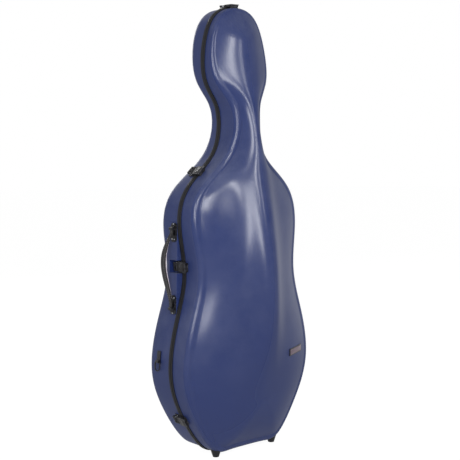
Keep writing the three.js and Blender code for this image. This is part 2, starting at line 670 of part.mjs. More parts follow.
// Hinges on the +X side, in line along one leaning axis
const hingeLow = new THREE.Vector3(
  sideAt(HINGE_LINE.lowHeight).x + HINGE_LINE.standOff, 0, HINGE_LINE.lowHeight + FOOT_HEIGHT);
const hingeHigh = new THREE.Vector3(
  sideAt(HINGE_LINE.highHeight).x + HINGE_LINE.standOff, 0, HINGE_LINE.highHeight + FOOT_HEIGHT);
const hingeDirection = hingeHigh.clone().sub(hingeLow).normalize();

// On the axis, t runs along it, y across the seam and n outwards
function hingeFrame(height) {
  const along = (height + FOOT_HEIGHT - hingeLow.z) / (hingeHigh.z - hingeLow.z);
  const origin = hingeLow.clone().lerp(hingeHigh, along);
  return localFrame(origin, ACROSS, new THREE.Vector3().crossVectors(hingeDirection, ACROSS).negate());
}

// Leaf in the frame of the axis; side is 1 for the back shell's and -1 for the lid's
function hingeLeaf(side, start, stretches, bore) {
  const wall = -HINGE_LINE.standOff;
  const faceTop = wall + HINGE.plate + GAP;
  const under = wall + HINGE.armUnder;
  const plate = profile([
    [side * start, wall - HINGE.depth], [side * HINGE.plateEnd, wall - HINGE.depth],
    [side * HINGE.plateEnd, faceTop], [side * start, faceTop],
  ], -HINGE.length / 2, HINGE.length / 2);
  const armPoints = [
    [0, -HINGE.knuckle], [side * start, under], [side * start, wall], [side * (start + HINGE.armSlope), wall],
    [side * (start + HINGE.armSlope), faceTop], [side * start, under + HINGE.armSlope], [0, HINGE.knuckle],
  ];
  const along = (from, to, radius) => bar([from, 0, 0], [to, 0, 0], radius, CURVE_SIDES);
  const knuckles = stretches.map(([from, to]) => (
    along(from, to, HINGE.knuckle).add(profile(armPoints, from, to))
  ));
  const leaf = join(plate, ...knuckles);
  return bore > 0 ? leaf.subtract(along(-HINGE.length, HINGE.length, bore)) : leaf;
}

HINGE_HEIGHT_SHARES.forEach((share, k) => {
  const frame = hingeFrame(share * CASE_HEIGHT);
  const half = HINGE.length / 2;
  const mid = HINGE.midLength / 2;
  const name = ["lower", "middle", "upper"][k];
  const outer = [[-half, -mid - HINGE.runGap], [mid + HINGE.runGap, half]];
  const pin = bar([-half, 0, 0], [half, 0, 0], HINGE.pin, CURVE_SIDES);
  const backLeaf = join(hingeLeaf(1, HINGE.plateStart, outer, 0), pin);
  const lidLeaf = hingeLeaf(-1, HINGE.lidPlateStart, [[-mid, mid]], HINGE.bore);
  add(`hinge_back_leaf_${name}`, moved(backLeaf, frame).subtract(backWallCut), HARDWARE);
  add(`hinge_lid_leaf_${name}`, moved(lidLeaf, frame).subtract(lidWallCut), HARDWARE);
});

// Handle land: fills the hollow of the waist up to a plane for both anchors, round the waist latch
const landStart = new THREE.Vector3(
  -sideAt(LAND.lowHeight).x - LAND.lift, 0, LAND.lowHeight + FOOT_HEIGHT);
const landEnd = new THREE.Vector3(
  -sideAt(LAND.highHeight).x - LAND.lift, 0, LAND.highHeight + FOOT_HEIGHT);
const landLength = landStart.distanceTo(landEnd);
const landDirection = landEnd.clone().sub(landStart).normalize();
const landOutwards = new THREE.Vector3().crossVectors(landDirection, ACROSS);

// Frame on the land's outer face; t runs up the land, or down it where up is -1
function landFrame(distance, back, up) {
  const origin = landStart.clone().addScaledVector(landDirection, distance).addScaledVector(ACROSS, back);
  return localFrame(origin, ACROSS.clone().multiplyScalar(up), landOutwards);
}

const latchPlace = (LATCH_HEIGHTS.waist - LAND.lowHeight) / landDirection.z;
const landBack = LAND.pocketBack + LAND.bridge;
const landBody = block([0, LAND.front, -OVERRUN], [landLength, landBack, 0]);
const landPocket = block([latchPlace - LAND.pocketHalf, LAND.front - OVERRUN, -2 * OVERRUN],
  [latchPlace + LAND.pocketHalf, LAND.pocketBack, OVERRUN]);
const land = moved(landBody.subtract(landPocket), landFrame(0, 0, 1));
add("handle_land", land.subtract(backWallCut), SHELL_BLUE);

// Rectangle in (t, y) with round corners, as thick as from one n to another
function roundedSlab(halfLength, halfWidth, corner, from, to) {
  const shape = new THREE.Shape();
  const [centreT, centreY] = [halfLength - corner, halfWidth - corner];
  [[1, 1], [-1, 1], [-1, -1], [1, -1]].forEach(([st, sy], k) => {
    shape.absarc(st * centreT, sy * centreY, corner, k * RIGHT_ANGLE, (k + 1) * RIGHT_ANGLE);
  });
  const sizes = { depth: to - from, bevelEnabled: false, curveSegments: CORNER_STEPS };
  const geometry = new THREE.ExtrudeGeometry(shape, sizes);
  geometry.translate(0, 0, from);
  return toSolid(geometry);
}

// Profile drawn in (t, n) and carried across y
const SIDE_AXES = new THREE.Matrix4().set(0, 1, 0, 0, 0, 0, 1, 0, 1, 0, 0, 0, 0, 0, 0, 1);
function sideProfile(points, from, to) {
  const shape = new THREE.Shape(points.map(([t, n]) => new THREE.Vector2(n, t)));
  const geometry = new THREE.ExtrudeGeometry(shape, { depth: to - from, bevelEnabled: false });
  geometry.translate(0, 0, from);
  geometry.applyMatrix4(SIDE_AXES);
  return toSolid(geometry);
}

function rivet(t, y, base, radius, height) {
  return bar([t, y, base], [t, y, base + height], radius, SMALL_SIDES, radius / 2);
}

// Anchor: riveted plate with a lug whose pin runs along the land into the strap's end
function handleAnchor() {
  const top = GAP + ANCHOR.plate;
  const plate = roundedSlab(ANCHOR.length / 2, ANCHOR.halfWidth, ANCHOR.corner, GAP, top);
  const lug = sideProfile([
    [-ANCHOR.lugBack, top / 2], [-ANCHOR.lugBack + ANCHOR.slope, ANCHOR.lugTop],
    [-ANCHOR.lugFront, ANCHOR.lugTop], [-ANCHOR.lugFront, top / 2],
  ], -ANCHOR.lugHalfWidth, ANCHOR.lugHalfWidth);
  const pinEnd = ANCHOR.pinLength - ANCHOR.lugFront;
  const pin = bar([-2 * ANCHOR.lugFront, 0, ANCHOR.axis], [pinEnd, 0, ANCHOR.axis], ANCHOR.pin);
  const rivets = [-ANCHOR.rivetSide, ANCHOR.rivetSide].map((y) => (
    rivet(ANCHOR.rivetPlace, y, top - GAP, ANCHOR.rivetRadius, ANCHOR.rivetHeight + GAP)
  ));
  return join(plate, lug, pin, ...rivets);
}
const lowerAnchorFrame = landFrame(ANCHOR.inset, ANCHOR.centre, 1);
const upperAnchorFrame = landFrame(landLength - ANCHOR.inset, ANCHOR.centre, -1);
add("handle_anchor_lower", moved(handleAnchor(), lowerAnchorFrame), HARDWARE);
add("handle_anchor_upper", moved(handleAnchor(), upperAnchorFrame), HARDWARE);

// Strap: a bow between the two pins, highest above its middle, and the soft pad under it
const strapLength = landLength - 2 * ANCHOR.inset;
function strapRise(share) {
  return STRAP.rise * Math.sin(Math.PI * THREE.MathUtils.clamp(share, 0, 1) ** STRAP.leanShare);
}

// Bar with bevelled edges through stations of { t, low, high, half }
function loft(stations, bevel) {
  const section = ({ t, low, high, half }) => {
    const [flat, under, over] = [half - bevel, low + bevel, high - bevel];
    return [
      [t, -flat, low], [t, flat, low], [t, half, under], [t, half, over],
      [t, flat, high], [t, -flat, high], [t, -half, over], [t, -half, under],
    ];
  };
  const end = ({ t, low, high }) => section({ t, low, high, half: 0 }).map(() => [t, 0, (low + high) / 2]);
  const last = stations[stations.length - 1];
  const rings = [end(stations[0]), ...stations.map(section), end(last)];
  return toSolid(ringMesh(rings, false));
}

function stations(from, to, shape) {
  const list = [];
  for (let k = 0; k <= STRAP.steps; k += 1) {
    const share = THREE.MathUtils.lerp(from, to, k / STRAP.steps);
    list.push({ t: share * strapLength, ...shape(share, k / STRAP.steps) });
  }
  return list;
}

function handleStrap() {
  const half = STRAP.thickness / 2;
  const bow = loft(stations(0, 1, (share) => {
    const widened = THREE.MathUtils.smoothstep(Math.min(share, 1 - share), 0, STRAP.widenShare);
    const width = THREE.MathUtils.lerp(STRAP.endHalfWidth, STRAP.halfWidth, widened);
    return { low: strapRise(share) - half, high: strapRise(share) + half, half: width };
  }), STRAP.bevel);
  const start = GAP - ANCHOR.lugFront;
  const boreEnd = ANCHOR.pinLength - ANCHOR.lugFront + STRAP.boreClearance;
  const barrel = (a, b) => bar([a, 0, 0], [b, 0, 0], STRAP.barrel, CURVE_SIDES);
  const bore = (a, b) => bar([a, 0, 0], [b, 0, 0], STRAP.bore, SMALL_SIDES);
  const upperBarrel = barrel(strapLength - STRAP.barrelEnd, strapLength - start);
  return join(bow, barrel(start, STRAP.barrelEnd), upperBarrel)
    .subtract(bore(2 * start, boreEnd))
    .subtract(bore(strapLength - boreEnd, strapLength - 2 * start));
}

function handlePad() {
  return loft(stations(PAD.startShare, 1 - PAD.startShare, (share, along) => {
    const high = strapRise(share) - STRAP.thickness / 2 - GAP;
    const swell = Math.sin(Math.PI * along);
    return {
      low: high - THREE.MathUtils.lerp(PAD.ends, PAD.thickness, swell), high,
      half: THREE.MathUtils.lerp(STRAP.endHalfWidth, PAD.halfWidth, Math.sqrt(swell)),
    };
  }), PAD.bevel);
}
const handleFrame = landFrame(ANCHOR.inset, ANCHOR.centre, 1)
  .multiply(new THREE.Matrix4().makeTranslation(0, 0, ANCHOR.axis));
add("handle_strap", moved(handleStrap(), handleFrame), LEATHER);
add("handle_pad", moved(handlePad(), handleFrame), PAD_GREY);

// Strap rings: riveted bracket with a barrel, and a ring whose straight bar turns in it
function ringBracket() {
  const top = BRACKET.plate + GAP;
  const plate = roundedSlab(BRACKET.halfLength, BRACKET.halfWidth, BRACKET.corner, -BRACKET.depth, top);
  const [t, n] = [BRACKET.barrelPlace, BRACKET.axis];
  const across = (radius, half) => bar([t, -half, n], [t, half, n], radius, CURVE_SIDES);
  const rivets = BRACKET.rivets.map((place) => (
    rivet(place, 0, BRACKET.plate, BRACKET.rivetRadius, BRACKET.rivetHeight + GAP)
  ));
  return join(plate, across(BRACKET.barrel, BRACKET.halfBarrel), ...rivets)
    .subtract(across(BRACKET.bore, BRACKET.halfWidth + RING.wire));
}

function strapRing() {
  const corner = (side, turnShares) => {
    const centre = [side * (RING.halfWidth - RING.corner), -RING.corner];
    return arc(centre, RING.corner, turnShares, RING.cornerSteps);
  };
  const path = [
    ...corner(-1, [1 / 2, 1 / 4]), ...corner(1, [1 / 4, 0]),
    ...arc([0, RING.halfWidth - RING.drop], RING.halfWidth, [0, -1 / 2], RING.roundSteps),
  ];
  const rings = path.map(([y, t], k) => {
    const [before, after] = [path[(k + path.length - 1) % path.length], path[(k + 1) % path.length]];
    const run = new THREE.Vector2(after[0] - before[0], after[1] - before[1]).normalize();
    const ring = [];
    for (let j = 0; j < RING.sides; j += 1) {
      const angle = (FULL_TURN * (j + 1 / 2)) / RING.sides;
      const side = RING.wire * Math.cos(angle);
      ring.push([
        BRACKET.barrelPlace + t + side * run.x, y - side * run.y, BRACKET.axis + RING.wire * Math.sin(angle),
      ]);
    }
    return ring;
  });
  return toSolid(ringMesh(rings, true));
}

function faceFrame(height, faceShare, side) {
  const at = (h, q) => new THREE.Vector3(...surfacePoint(BACK, 0, { q }, sideAt(h)));
  const origin = at(height, faceShare);
  const upwards = at(height + BRACKET.halfLength, faceShare).sub(at(height - BRACKET.halfLength, faceShare));
  const span = BRACKET.halfWidth / sideAt(height).x;
  const sideways = at(height, faceShare + span).sub(at(height, faceShare - span));
  const normal = new THREE.Vector3().crossVectors(upwards, sideways).normalize();
  origin.x *= side;
  normal.x *= side;
  return localFrame(origin, new THREE.Vector3().crossVectors(normal, UP), normal);
}

// On the +X wall the frame's t runs down, so it is turned about to let that ring hang too
function sideRingFrame(side) {
  const frame = wallFrame(LOWER_RING.height, BRACKET.halfLength, side);
  const across = new THREE.Matrix4().makeTranslation(0, LOWER_RING.back, 0);
  const turned = new THREE.Matrix4().makeRotationZ(side > 0 ? Math.PI : 0);
  return frame.multiply(across).multiply(turned);
}

const ringFrames = {
  lower_left: sideRingFrame(-1),
  lower_right: sideRingFrame(1),
  upper_left: faceFrame(UPPER_RING.height, UPPER_RING.faceShare, -1),
  upper_right: faceFrame(UPPER_RING.height, UPPER_RING.faceShare, 1),
};
for (const [place, frame] of Object.entries(ringFrames)) {
  add(`ring_bracket_${place}`, moved(ringBracket(), frame).subtract(backOutside), STEEL);
  add(`strap_ring_${place}`, moved(strapRing(), frame), HARDWARE);
}

// Foam in the back shell: what is left between the lining and the room for the instrument
const level = (height) => height + FOOT_HEIGHT;

function foamLayer({ bottom, top, front, back }, from = -HALF_WIDTH, to = HALF_WIDTH) {
  return backInside.intersect(block([from, front, level(bottom)], [to, back, level(top)]));
}

function roomFor(thickness) {
  return outlinePrism(-foamInset - thickness, -OVERRUN, BACK_DEPTH + OVERRUN);
}

const { radius: wellRadius, back: wellBack } = END_PIN_WELL;
const endPinWell = bar([0, wellBack, 0], [0, wellBack, level(CRADLE.top)], wellRadius, CURVE_SIDES);
const cradle = foamLayer({ ...CRADLE, bottom: -OVERRUN }).subtract(roomFor(CRADLE.thickness));
add("lower_cradle", cradle.subtract(endPinWell), FOAM_CLOTH);
for (const [name, pad] of Object.entries({ waist_pad: WAIST_PAD, shoulder_pad: SHOULDER_PAD })) {
  add(`${name}_left`, foamLayer(pad, -HALF_WIDTH, 0).subtract(roomFor(pad.thickness)), FOAM_CLOTH);
  add(`${name}_right`, foamLayer(pad, 0, HALF_WIDTH).subtract(roomFor(pad.thickness)), FOAM_CLOTH);
}

const neckNotch = join(
  bar([0, NECK_CRADLE.notchBack, level(NECK_CRADLE.bottom - OVERRUN)],
    [0, NECK_CRADLE.notchBack, level(NECK_CRADLE.top + OVERRUN)], NECK_CRADLE.notch, CURVE_SIDES),
  block([-NECK_CRADLE.notch, -OVERRUN, level(NECK_CRADLE.bottom - OVERRUN)],
    [NECK_CRADLE.notch, NECK_CRADLE.notchBack, level(NECK_CRADLE.top + OVERRUN)]));
add("neck_cradle", foamLayer({ ...NECK_CRADLE, back: BACK_DEPTH }).subtract(neckNotch), FOAM_CLOTH);
const scrollPad = foamLayer({ ...SCROLL_PAD, back: BACK_DEPTH }).intersect(roomFor(SCROLL_PAD.margin));
add("scroll_pad", scrollPad, FOAM_CLOTH);

// Neck strap: webbing sewn to the cradle at both ends, arched over the neck
function neckStrap() {
  const arch = (lift) => {
    const points = [];
    for (let k = 0; k <= NECK_STRAP.steps; k += 1) {
      const angle = (Math.PI * k) / NECK_STRAP.steps;
      points.push([
        -(NECK_STRAP.root - NECK_STRAP.thickness + lift) * Math.cos(angle),
        -(NECK_STRAP.arch + lift) * Math.sin(angle),
      ]);
    }
    return points;
  };
  const seat = NECK_CRADLE.front - GAP;
  const { root, tab } = NECK_STRAP;
  const points = [
    [root + tab, seat], [root - tab, seat], ...arch(0).reverse(),
    [tab - root, seat], [-root - tab, seat], ...arch(NECK_STRAP.thickness),
  ];
  const shape = new THREE.Shape(points.map(([x, y]) => new THREE.Vector2(x, y)));
  const geometry = new THREE.ExtrudeGeometry(shape, { depth: NECK_STRAP.width, bevelEnabled: false });
  geometry.translate(0, 0, level(NECK_STRAP.bottom));
  return toSolid(geometry);
}
add("neck_strap", neckStrap(), LEATHER);

// Bow holders in the lid: a slotted rest low down, and a post with a turning button high up
for (const [name, side] of [["left", -1], ["right", 1]]) {
  const centre = side * (BOW_REST.inner + BOW_REST.outer) / 2;
  const half = (BOW_REST.outer - BOW_REST.inner) / 2;
  const [restLow, restHigh] = [level(BOW_REST.bottom), level(BOW_REST.top)];
  const rest = block([centre - half, -LID_DEPTH, restLow], [centre + half, -BOW_REST.front, restHigh]);
  const slotFloor = -BOW_REST.front - BOW_REST.slotDepth;
  const slot = block([centre - BOW_REST.slotHalf, slotFloor, restLow - OVERRUN],
    [centre + BOW_REST.slotHalf, 0, restHigh + OVERRUN]);
  add(`bow_rest_${name}`, rest.subtract(slot).intersect(lidInside), FOAM_CLOTH);
  const [x, z] = [side * BOW_CLIP.side, level(BOW_CLIP.height)];
  const along = (from, to, radius) => bar([x, -from, z], [x, -to, z], radius, CURVE_SIDES);
  const stemEnd = BOW_CLIP.front + BOW_CLIP.post;
  const post = along(BOW_CLIP.front, LID_DEPTH, BOW_CLIP.post)
    .subtract(along(0, stemEnd + GAP, BOW_CLIP.stem + GAP));
  add(`bow_clip_post_${name}`, post.intersect(lidInside), FOAM_CLOTH);
  const face = BOW_CLIP.front - GAP;
  const button = join(
    block([x - BOW_CLIP.buttonHalf, -face, z - BOW_CLIP.button],
      [x + BOW_CLIP.buttonHalf, -face + BOW_CLIP.buttonThickness, z + BOW_CLIP.button]),
    along(face - GAP, stemEnd, BOW_CLIP.stem));
  add(`bow_clip_button_${name}`, button, HARDWARE);
}

// The origin is on the floor, in the middle of the whole case
group.updateMatrixWorld(true);
const middle = new THREE.Box3().setFromObject(group).getCenter(new THREE.Vector3());
group.position.set(-middle.x, -middle.y, 0);

export default group;
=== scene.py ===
"""Cello hard case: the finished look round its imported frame.

Metres, in the frame of the CAD model. The lid faces -Y and the back shell +Y, the latches and the
handle are on the -X side and the hinges on the +X side.
"""

import json
import math
from contextlib import contextmanager
from typing import Callable, NamedTuple

import bmesh
import bpy
import numpy as np
from bpy.props import FloatProperty, FloatVectorProperty, IntProperty, PointerProperty
from mathutils import Matrix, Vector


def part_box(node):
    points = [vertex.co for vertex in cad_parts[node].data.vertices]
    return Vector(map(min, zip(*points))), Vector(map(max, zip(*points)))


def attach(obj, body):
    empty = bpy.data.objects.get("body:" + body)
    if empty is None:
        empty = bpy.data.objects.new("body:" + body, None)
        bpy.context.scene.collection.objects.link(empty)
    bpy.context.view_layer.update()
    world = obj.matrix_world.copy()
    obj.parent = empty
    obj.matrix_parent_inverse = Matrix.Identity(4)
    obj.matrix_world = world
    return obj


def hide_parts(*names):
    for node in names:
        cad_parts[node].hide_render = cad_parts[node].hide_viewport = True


bl_info = {
    "name": "Cello hard case",
    "version": (1, 0, 0),
    "blender": (4, 5, 0),
    "location": "View3D > Sidebar > Case",
    "description": "Builds the finished look of a cello hard case round its packed frame",
    "category": "Object",
}

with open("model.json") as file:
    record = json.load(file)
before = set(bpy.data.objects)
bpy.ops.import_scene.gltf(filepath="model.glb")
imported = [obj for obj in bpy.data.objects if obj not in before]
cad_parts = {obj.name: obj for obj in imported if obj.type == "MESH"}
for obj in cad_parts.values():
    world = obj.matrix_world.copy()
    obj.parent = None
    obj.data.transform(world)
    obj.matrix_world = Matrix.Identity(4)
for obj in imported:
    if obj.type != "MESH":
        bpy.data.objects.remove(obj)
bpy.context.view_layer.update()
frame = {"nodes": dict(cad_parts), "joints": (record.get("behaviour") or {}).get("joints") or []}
NODES = frame["nodes"]
JOINTS = {joint["name"]: joint for joint in frame["joints"]}

# Overall sizes, as the CAD model has them
CASE_HEIGHT = 1.34
HALF_WIDTH = 0.248
FOOT_HEIGHT = 0.012
SHELL_WALL = 0.003
RIM_SETBACK = 0.004
RIDGE_HALF_WIDTH = 0.054
SPINE_LOW = 0.127 * CASE_HEIGHT
SPINE_HIGH = 0.918 * CASE_HEIGHT
SPINE_SOFTNESS = 0.025
SEAM_GAP = 0.00015
GAP = 0.0003
LINING = 0.004
LINING_GAP = 0.0007

# Half width and height of the outline's guide points as shares, the steps between two of them, and
# how much a turn counts beside a length where points are spread round the case
OUTLINE_SHARES = [
    [0, 0], [0.3, 0], [0.527, -0.006], [0.845, 0.081], [1.071, 0.179], [0.935, 0.302],
    [0.715, 0.405], [0.869, 0.508], [0.82, 0.596], [0.344, 0.657], [0.197, 0.711], [0.201, 0.792],
    [0.507, 0.836], [0.387, 0.982], [0, 1.006],
]
OUTLINE_STEPS = 60
TURN_WEIGHT = 0.22
SIDEWAYS = 0.2  # least share of a side's normal along x
WALL_ROWS, FILLET_ROWS = 4, 9

# Shells by body. Wall, crest and ridge are shares at equal steps up the case, power is the face's
SHELLS = {
    "lid": {
        "side": -1,
        "depth": 0.188,
        "wall": [0.32, 0.33, 0.37, 0.39, 0.39, 0.41, 0.37, 0.32, 0.33, 0.49, 0.27, 0.16, 0.16],
        "crest": [0.66, 0.68, 0.78, 0.95, 1.01, 1.01, 0.94, 0.83, 0.7, 0.6, 0.52, 0.43, 0.38],
        "ridge": [0, 0, 0.06, 0.24, 0.36, 0.4, 0.4, 0.42, 0.42, 0.42, 0.34, 0.2, 0.12],
        "fillet": 0.018,
        "fillet_share": 0.3,
        "power": 2,
    },
    "back": {
        "side": 1,
        "depth": 0.135,
        "wall": [0.9, 0.93, 0.94, 0.93, 0.9, 0.87, 0.84, 0.76, 0.56, 0.32, 0.49, 0.62, 0.63],
        "crest": [0.96, 0.99, 1, 0.99, 0.96, 0.93, 0.9, 0.82, 0.62, 0.39, 0.55, 0.67, 0.68],
        "ridge": [0, 0],
        "fillet": 0.038,
        "fillet_share": 0.45,
        "power": 4,
    },
}

# Where the case stands in the row frame: the seam band tells the seam plane and the middle
BAND_LOW, BAND_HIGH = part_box("seam_band")
SHIFT = np.array([(BAND_LOW.x + BAND_HIGH.x) / 2, BAND_LOW.y - SEAM_GAP, 0.0])

ACROSS = np.array([0.0, 1.0, 0.0])
UP = np.array([0.0, 0.0, 1.0])
STITCH_THICKNESS = 0.00045


# Shapes


def unit(vectors):
    """Vectors divided by their lengths."""
    return vectors / np.linalg.norm(vectors, axis=-1, keepdims=True)


def lerp(low, high, share):
    """The share's place on the straight way from low to high."""
    return low + (high - low) * share


def circle(count):
    """Angles at equal steps once round."""
    return np.linspace(0, 2 * math.pi, count, endpoint=False)


def spline_weights(f):
    """Cubic B-spline weights of four guide values, f from 0 to 1 between the middle two: (1-f)^3,
    3f^3-6f^2+4, 3(1-f)^3-6(1-f)^2+4 and f^3, all over 6."""
    g = 1 - f
    return np.stack([g**3, 3 * f**3 - 6 * f**2 + 4, 3 * g**3 - 6 * g**2 + 4, f**3]) / 6


def share_at(shares, height):
    """Value of a table of shares at a height: its four nearest values times the B-spline's
    weights, with the first and the last value repeated beyond the ends."""
    table = np.asarray(shares, float)
    last = len(table) - 1
    u = np.clip(height / CASE_HEIGHT, 0, 1) * last
    i = np.minimum(np.floor(u).astype(int), last - 1)
    weights = spline_weights(u - i)
    return sum(weights[k] * table[np.clip(i - 1 + k, 0, last)] for k in range(4))


def fine_outline():
    """Right half of the closed B-spline through the mirrored guide points, stretched to the case's
    half width and height, as columns of x, height and the outward normal, which is the tangent
    turned a quarter."""
    guides = np.array(OUTLINE_SHARES)
    ring = np.concatenate([guides, guides[-2:0:-1] * [-1, 1]])
    last = len(guides) - 1
    u = np.linspace(0, last, last * OUTLINE_STEPS + 1)
    i = np.floor(u).astype(int)
    weights = spline_weights(u - i)
    x, h = sum(weights[k][:, None] * ring[(i - 1 + k) % len(ring)] for k in range(4)).T
    half = np.stack([x / x.max() * HALF_WIDTH, (h - h.min()) / np.ptp(h) * CASE_HEIGHT], 1)
    closed = np.concatenate([half, half[-2:0:-1] * [-1, 1]])
    run = unit(np.roll(closed, -1, axis=0) - np.roll(closed, 1, axis=0))[: len(half)]
    return np.column_stack([half, run[:, 1], -run[:, 0]])


FINE = fine_outline()


def outline(count):
    """Points round the case, spread evenly by length plus a weight times turn, right half then
    its mirror."""
    step = np.linalg.norm(np.diff(FINE[:, :2], axis=0), axis=1)
    turn = np.arccos(np.clip((FINE[1:, 2:] * FINE[:-1, 2:]).sum(1), -1, 1))
    measure = np.concatenate([[0], np.cumsum(step + TURN_WEIGHT * turn)])
    goal = np.linspace(0, measure[-1], count // 2 + 1)
    half = np.column_stack([np.interp(goal, measure, FINE[:, k]) for k in range(4)])
    half[:, 2:] = unit(half[:, 2:])
    half[0], half[-1] = (0, FINE[0, 1], 0, -1), (0, FINE[-1, 1], 0, 1)
    return np.concatenate([half, half[-2:0:-1] * [-1, 1, -1, 1]])


def half_width_at(height):
    """Half width at a height between the outline's round ends, where its normal points sideways."""
    side = FINE[FINE[:, 2] > SIDEWAYS]
    return np.interp(height, side[:, 1], side[:, 0])


def shell_points(shell, off, line, wall=None, turn=None, q=None):
    """Rings of a shell's surface, off inside its outer one, one for each value of wall, turn or q.

    Wall runs from the rim to the fillet. Turn goes round the fillet: inset r(1-cos turn), depth
    edge-r+r sin turn. Q runs over the face from its edge, 1, to the middle line, 0, along straight
    ribs in plan; the depth rises from the edge to the crest by a power law blended with a bell,
    exp(-(d/w)^2), of the distance d from the line.
    """
    x, h, nx, nh = line.T
    full = shell["depth"] * share_at(shell["wall"], h)
    edge = full - off
    fillet = np.minimum(shell["fillet"], shell["fillet_share"] * full)
    radius = np.maximum(fillet - off, SHELL_WALL / 2)
    if wall is not None:
        inset = np.full((len(wall), len(x)), float(off))
        depth = lerp(RIM_SETBACK, edge - radius, wall[:, None])
    elif turn is not None:
        inset = off + radius * (1 - np.cos(turn[:, None]))
        depth = edge - radius + radius * np.sin(turn[:, None])
    else:
        inset = np.full((len(q), len(x)), off + radius)
    px, ph = x - nx * inset, h - nh * inset
    if q is not None:
        low = SPINE_LOW + SPINE_SOFTNESS * np.logaddexp(0, (h - SPINE_LOW) / SPINE_SOFTNESS)
        spine = SPINE_HIGH - SPINE_SOFTNESS * np.logaddexp(0, (SPINE_HIGH - low) / SPINE_SOFTNESS)
        crest = shell["depth"] * share_at(shell["crest"], spine) - off
        reach = np.hypot(px, ph - spine)
        share = q[:, None]
        bell = np.exp(-((share * reach / RIDGE_HALF_WIDTH) ** 2))
        foot = np.exp(-((reach / RIDGE_HALF_WIDTH) ** 2))
        ridge = (bell - foot) / (1 - foot)
        rise = lerp(1 - share ** shell["power"], ridge, share_at(shell["ridge"], spine))
        depth = edge + (crest - edge) * rise
        px, ph = px * share, lerp(spine, ph, share)
    return np.stack([px, shell["side"] * depth, ph + FOOT_HEIGHT], axis=-1)


def skin(shell, off, line, face_rows, fillet_rows=FILLET_ROWS):
    """Rings from a shell's rim over its wall, fillet and face to the middle line."""
    turns = np.linspace(0, math.pi / 2, fillet_rows)
    return np.concatenate([
        shell_points(shell, off, line, wall=np.linspace(0, 1, WALL_ROWS)),
        shell_points(shell, off, line, turn=turns[1:]),
        shell_points(shell, off, line, q=np.linspace(1, 0, face_rows)),
    ])


def grid(rings, loop=False):
    """Points and quads of rings whose points run round; with loop the last ring joins the first."""
    rows, columns = rings.shape[:2]
    r = np.arange(rows if loop else rows - 1)[:, None]
    c = np.arange(columns)[None, :]
    below, above, right = r * columns, (r + 1) % rows * columns, (c + 1) % columns
    quads = np.stack([below + c, below + right, above + right, above + c], axis=-1)
    return rings.reshape(-1, 3), quads.reshape(-1, 4)


def loft(rings):
    """Closed body of rings, its ends drawn in to their middles."""
    first, last = (np.broadcast_to(rings[k].mean(0), rings[k].shape)[None] for k in (0, -1))
    return grid(np.concatenate([first, rings, last]))


def walled(outer, inner):
    """Closed wall: the outer skin from the middle line to the rim, then the inner one back."""
    return grid(np.concatenate([outer[::-1], inner]) + SHIFT)


def carried(section, line, side):
    """A closed section of (outwards, from the seam) carried round the outline."""
    outwards, y = section[:, :1], section[:, 1:]
    x, h, nx, nh = line.T
    rings = [x + nx * outwards, side * y + 0 * x, h + nh * outwards + FOOT_HEIGHT]
    return grid(np.stack(rings, axis=-1) + SHIFT, loop=True)


def together(*shapes):
    """Several shapes as one, each after the other's points."""
    starts = np.cumsum([0] + [len(points) for points, _ in shapes])
    return (
        np.concatenate([points for points, _ in shapes]),
        np.concatenate([quads + start for (_, quads), start in zip(shapes, starts)]),
    )


def scatter(shape, frames):
    """Copies of a shape, one in each 4x4 frame."""
    points, quads = shape
    frames = np.stack(frames)
    placed = np.einsum("kij,pj->kpi", frames[:, :3, :3], points) + frames[:, None, :3, 3]
    starts = np.arange(len(frames))[:, None, None] * len(points)
    return placed.reshape(-1, 3), (quads[None] + starts).reshape(-1, 4)


def frames_at(origins, t, y, n):
    """4x4 frames with axes t, y and n at the origins."""
    made = np.zeros((len(origins), 4, 4))
    for column, axis in enumerate((t, y, n, origins)):
        made[:, :3, column] = axis
    made[:, 3, 3] = 1
    return made


def frame_at(origin, t, y, n):
    """One 4x4 frame."""
    return frames_at(np.array([origin]), t, y, n)[0]


def shifted(local, t=0.0, y=0.0, n=0.0):
    """The frame moved along its own axes."""
    made = local.copy()
    made[:3, 3] += local[:3, :3] @ np.array([t, y, n])
    return made


def seats(local, ts, ys, n):
    """The frame moved to each pair of places along its t and y axes, at one height."""
    return [shifted(local, t, y, n) for t in ts for y in ys]


def facing(local, way):
    """The frame turned so that its n points along its own t axis, or against it if way is -1."""
    t, y, n = local[:3, :3].T
    return frame_at(local[:3, 3], *((y, n, t) if way > 0 else (n, y, -t)))


def turned(profile, count=20):
    """Profile of (radius, height) turned round the height's axis."""
    radius, height = np.array(profile).T[:, :, None]
    angles = circle(count)
    return np.stack(
        [radius * np.cos(angles), radius * np.sin(angles), height + 0 * angles], axis=-1)


def dome(radius, height, sunk):
    """Rivet head: a quarter ellipse turned round, on a short sunk skirt."""
    angle = np.linspace(0, math.pi / 2, 5)
    profile = np.column_stack([radius * np.cos(angle), height * np.sin(angle)])
    return loft(turned(np.concatenate([[[radius, -sunk]], profile]), 16))


def rounded(corners, steps=4):
    """Closed section of corners as (x, y, radius), each drawn round: p(s) = (1-s)^2 a
    + 2s(1-s) corner + s^2 b, where a and b lie a radius from the corner on its two sides."""
    corners = np.array(corners, float)
    corners, radii = corners[:, :2], corners[:, 2:]
    a, b = (corners + unit(np.roll(corners, k, axis=0) - corners) * radii for k in (1, -1))
    s = np.linspace(0, 1, steps)[None, :, None]
    arcs = (1 - s) ** 2 * a[:, None] + 2 * s * (1 - s) * corners[:, None] + s**2 * b[:, None]
    return arcs.reshape(-1, 2)


def oblong(half_length, half_width, radius, steps=4):
    """Rectangle with round corners."""
    signs = np.array([[1, 1, 1], [-1, 1, 1], [-1, -1, 1], [1, -1, 1]])
    return rounded(signs * [half_length, half_width, radius], steps)


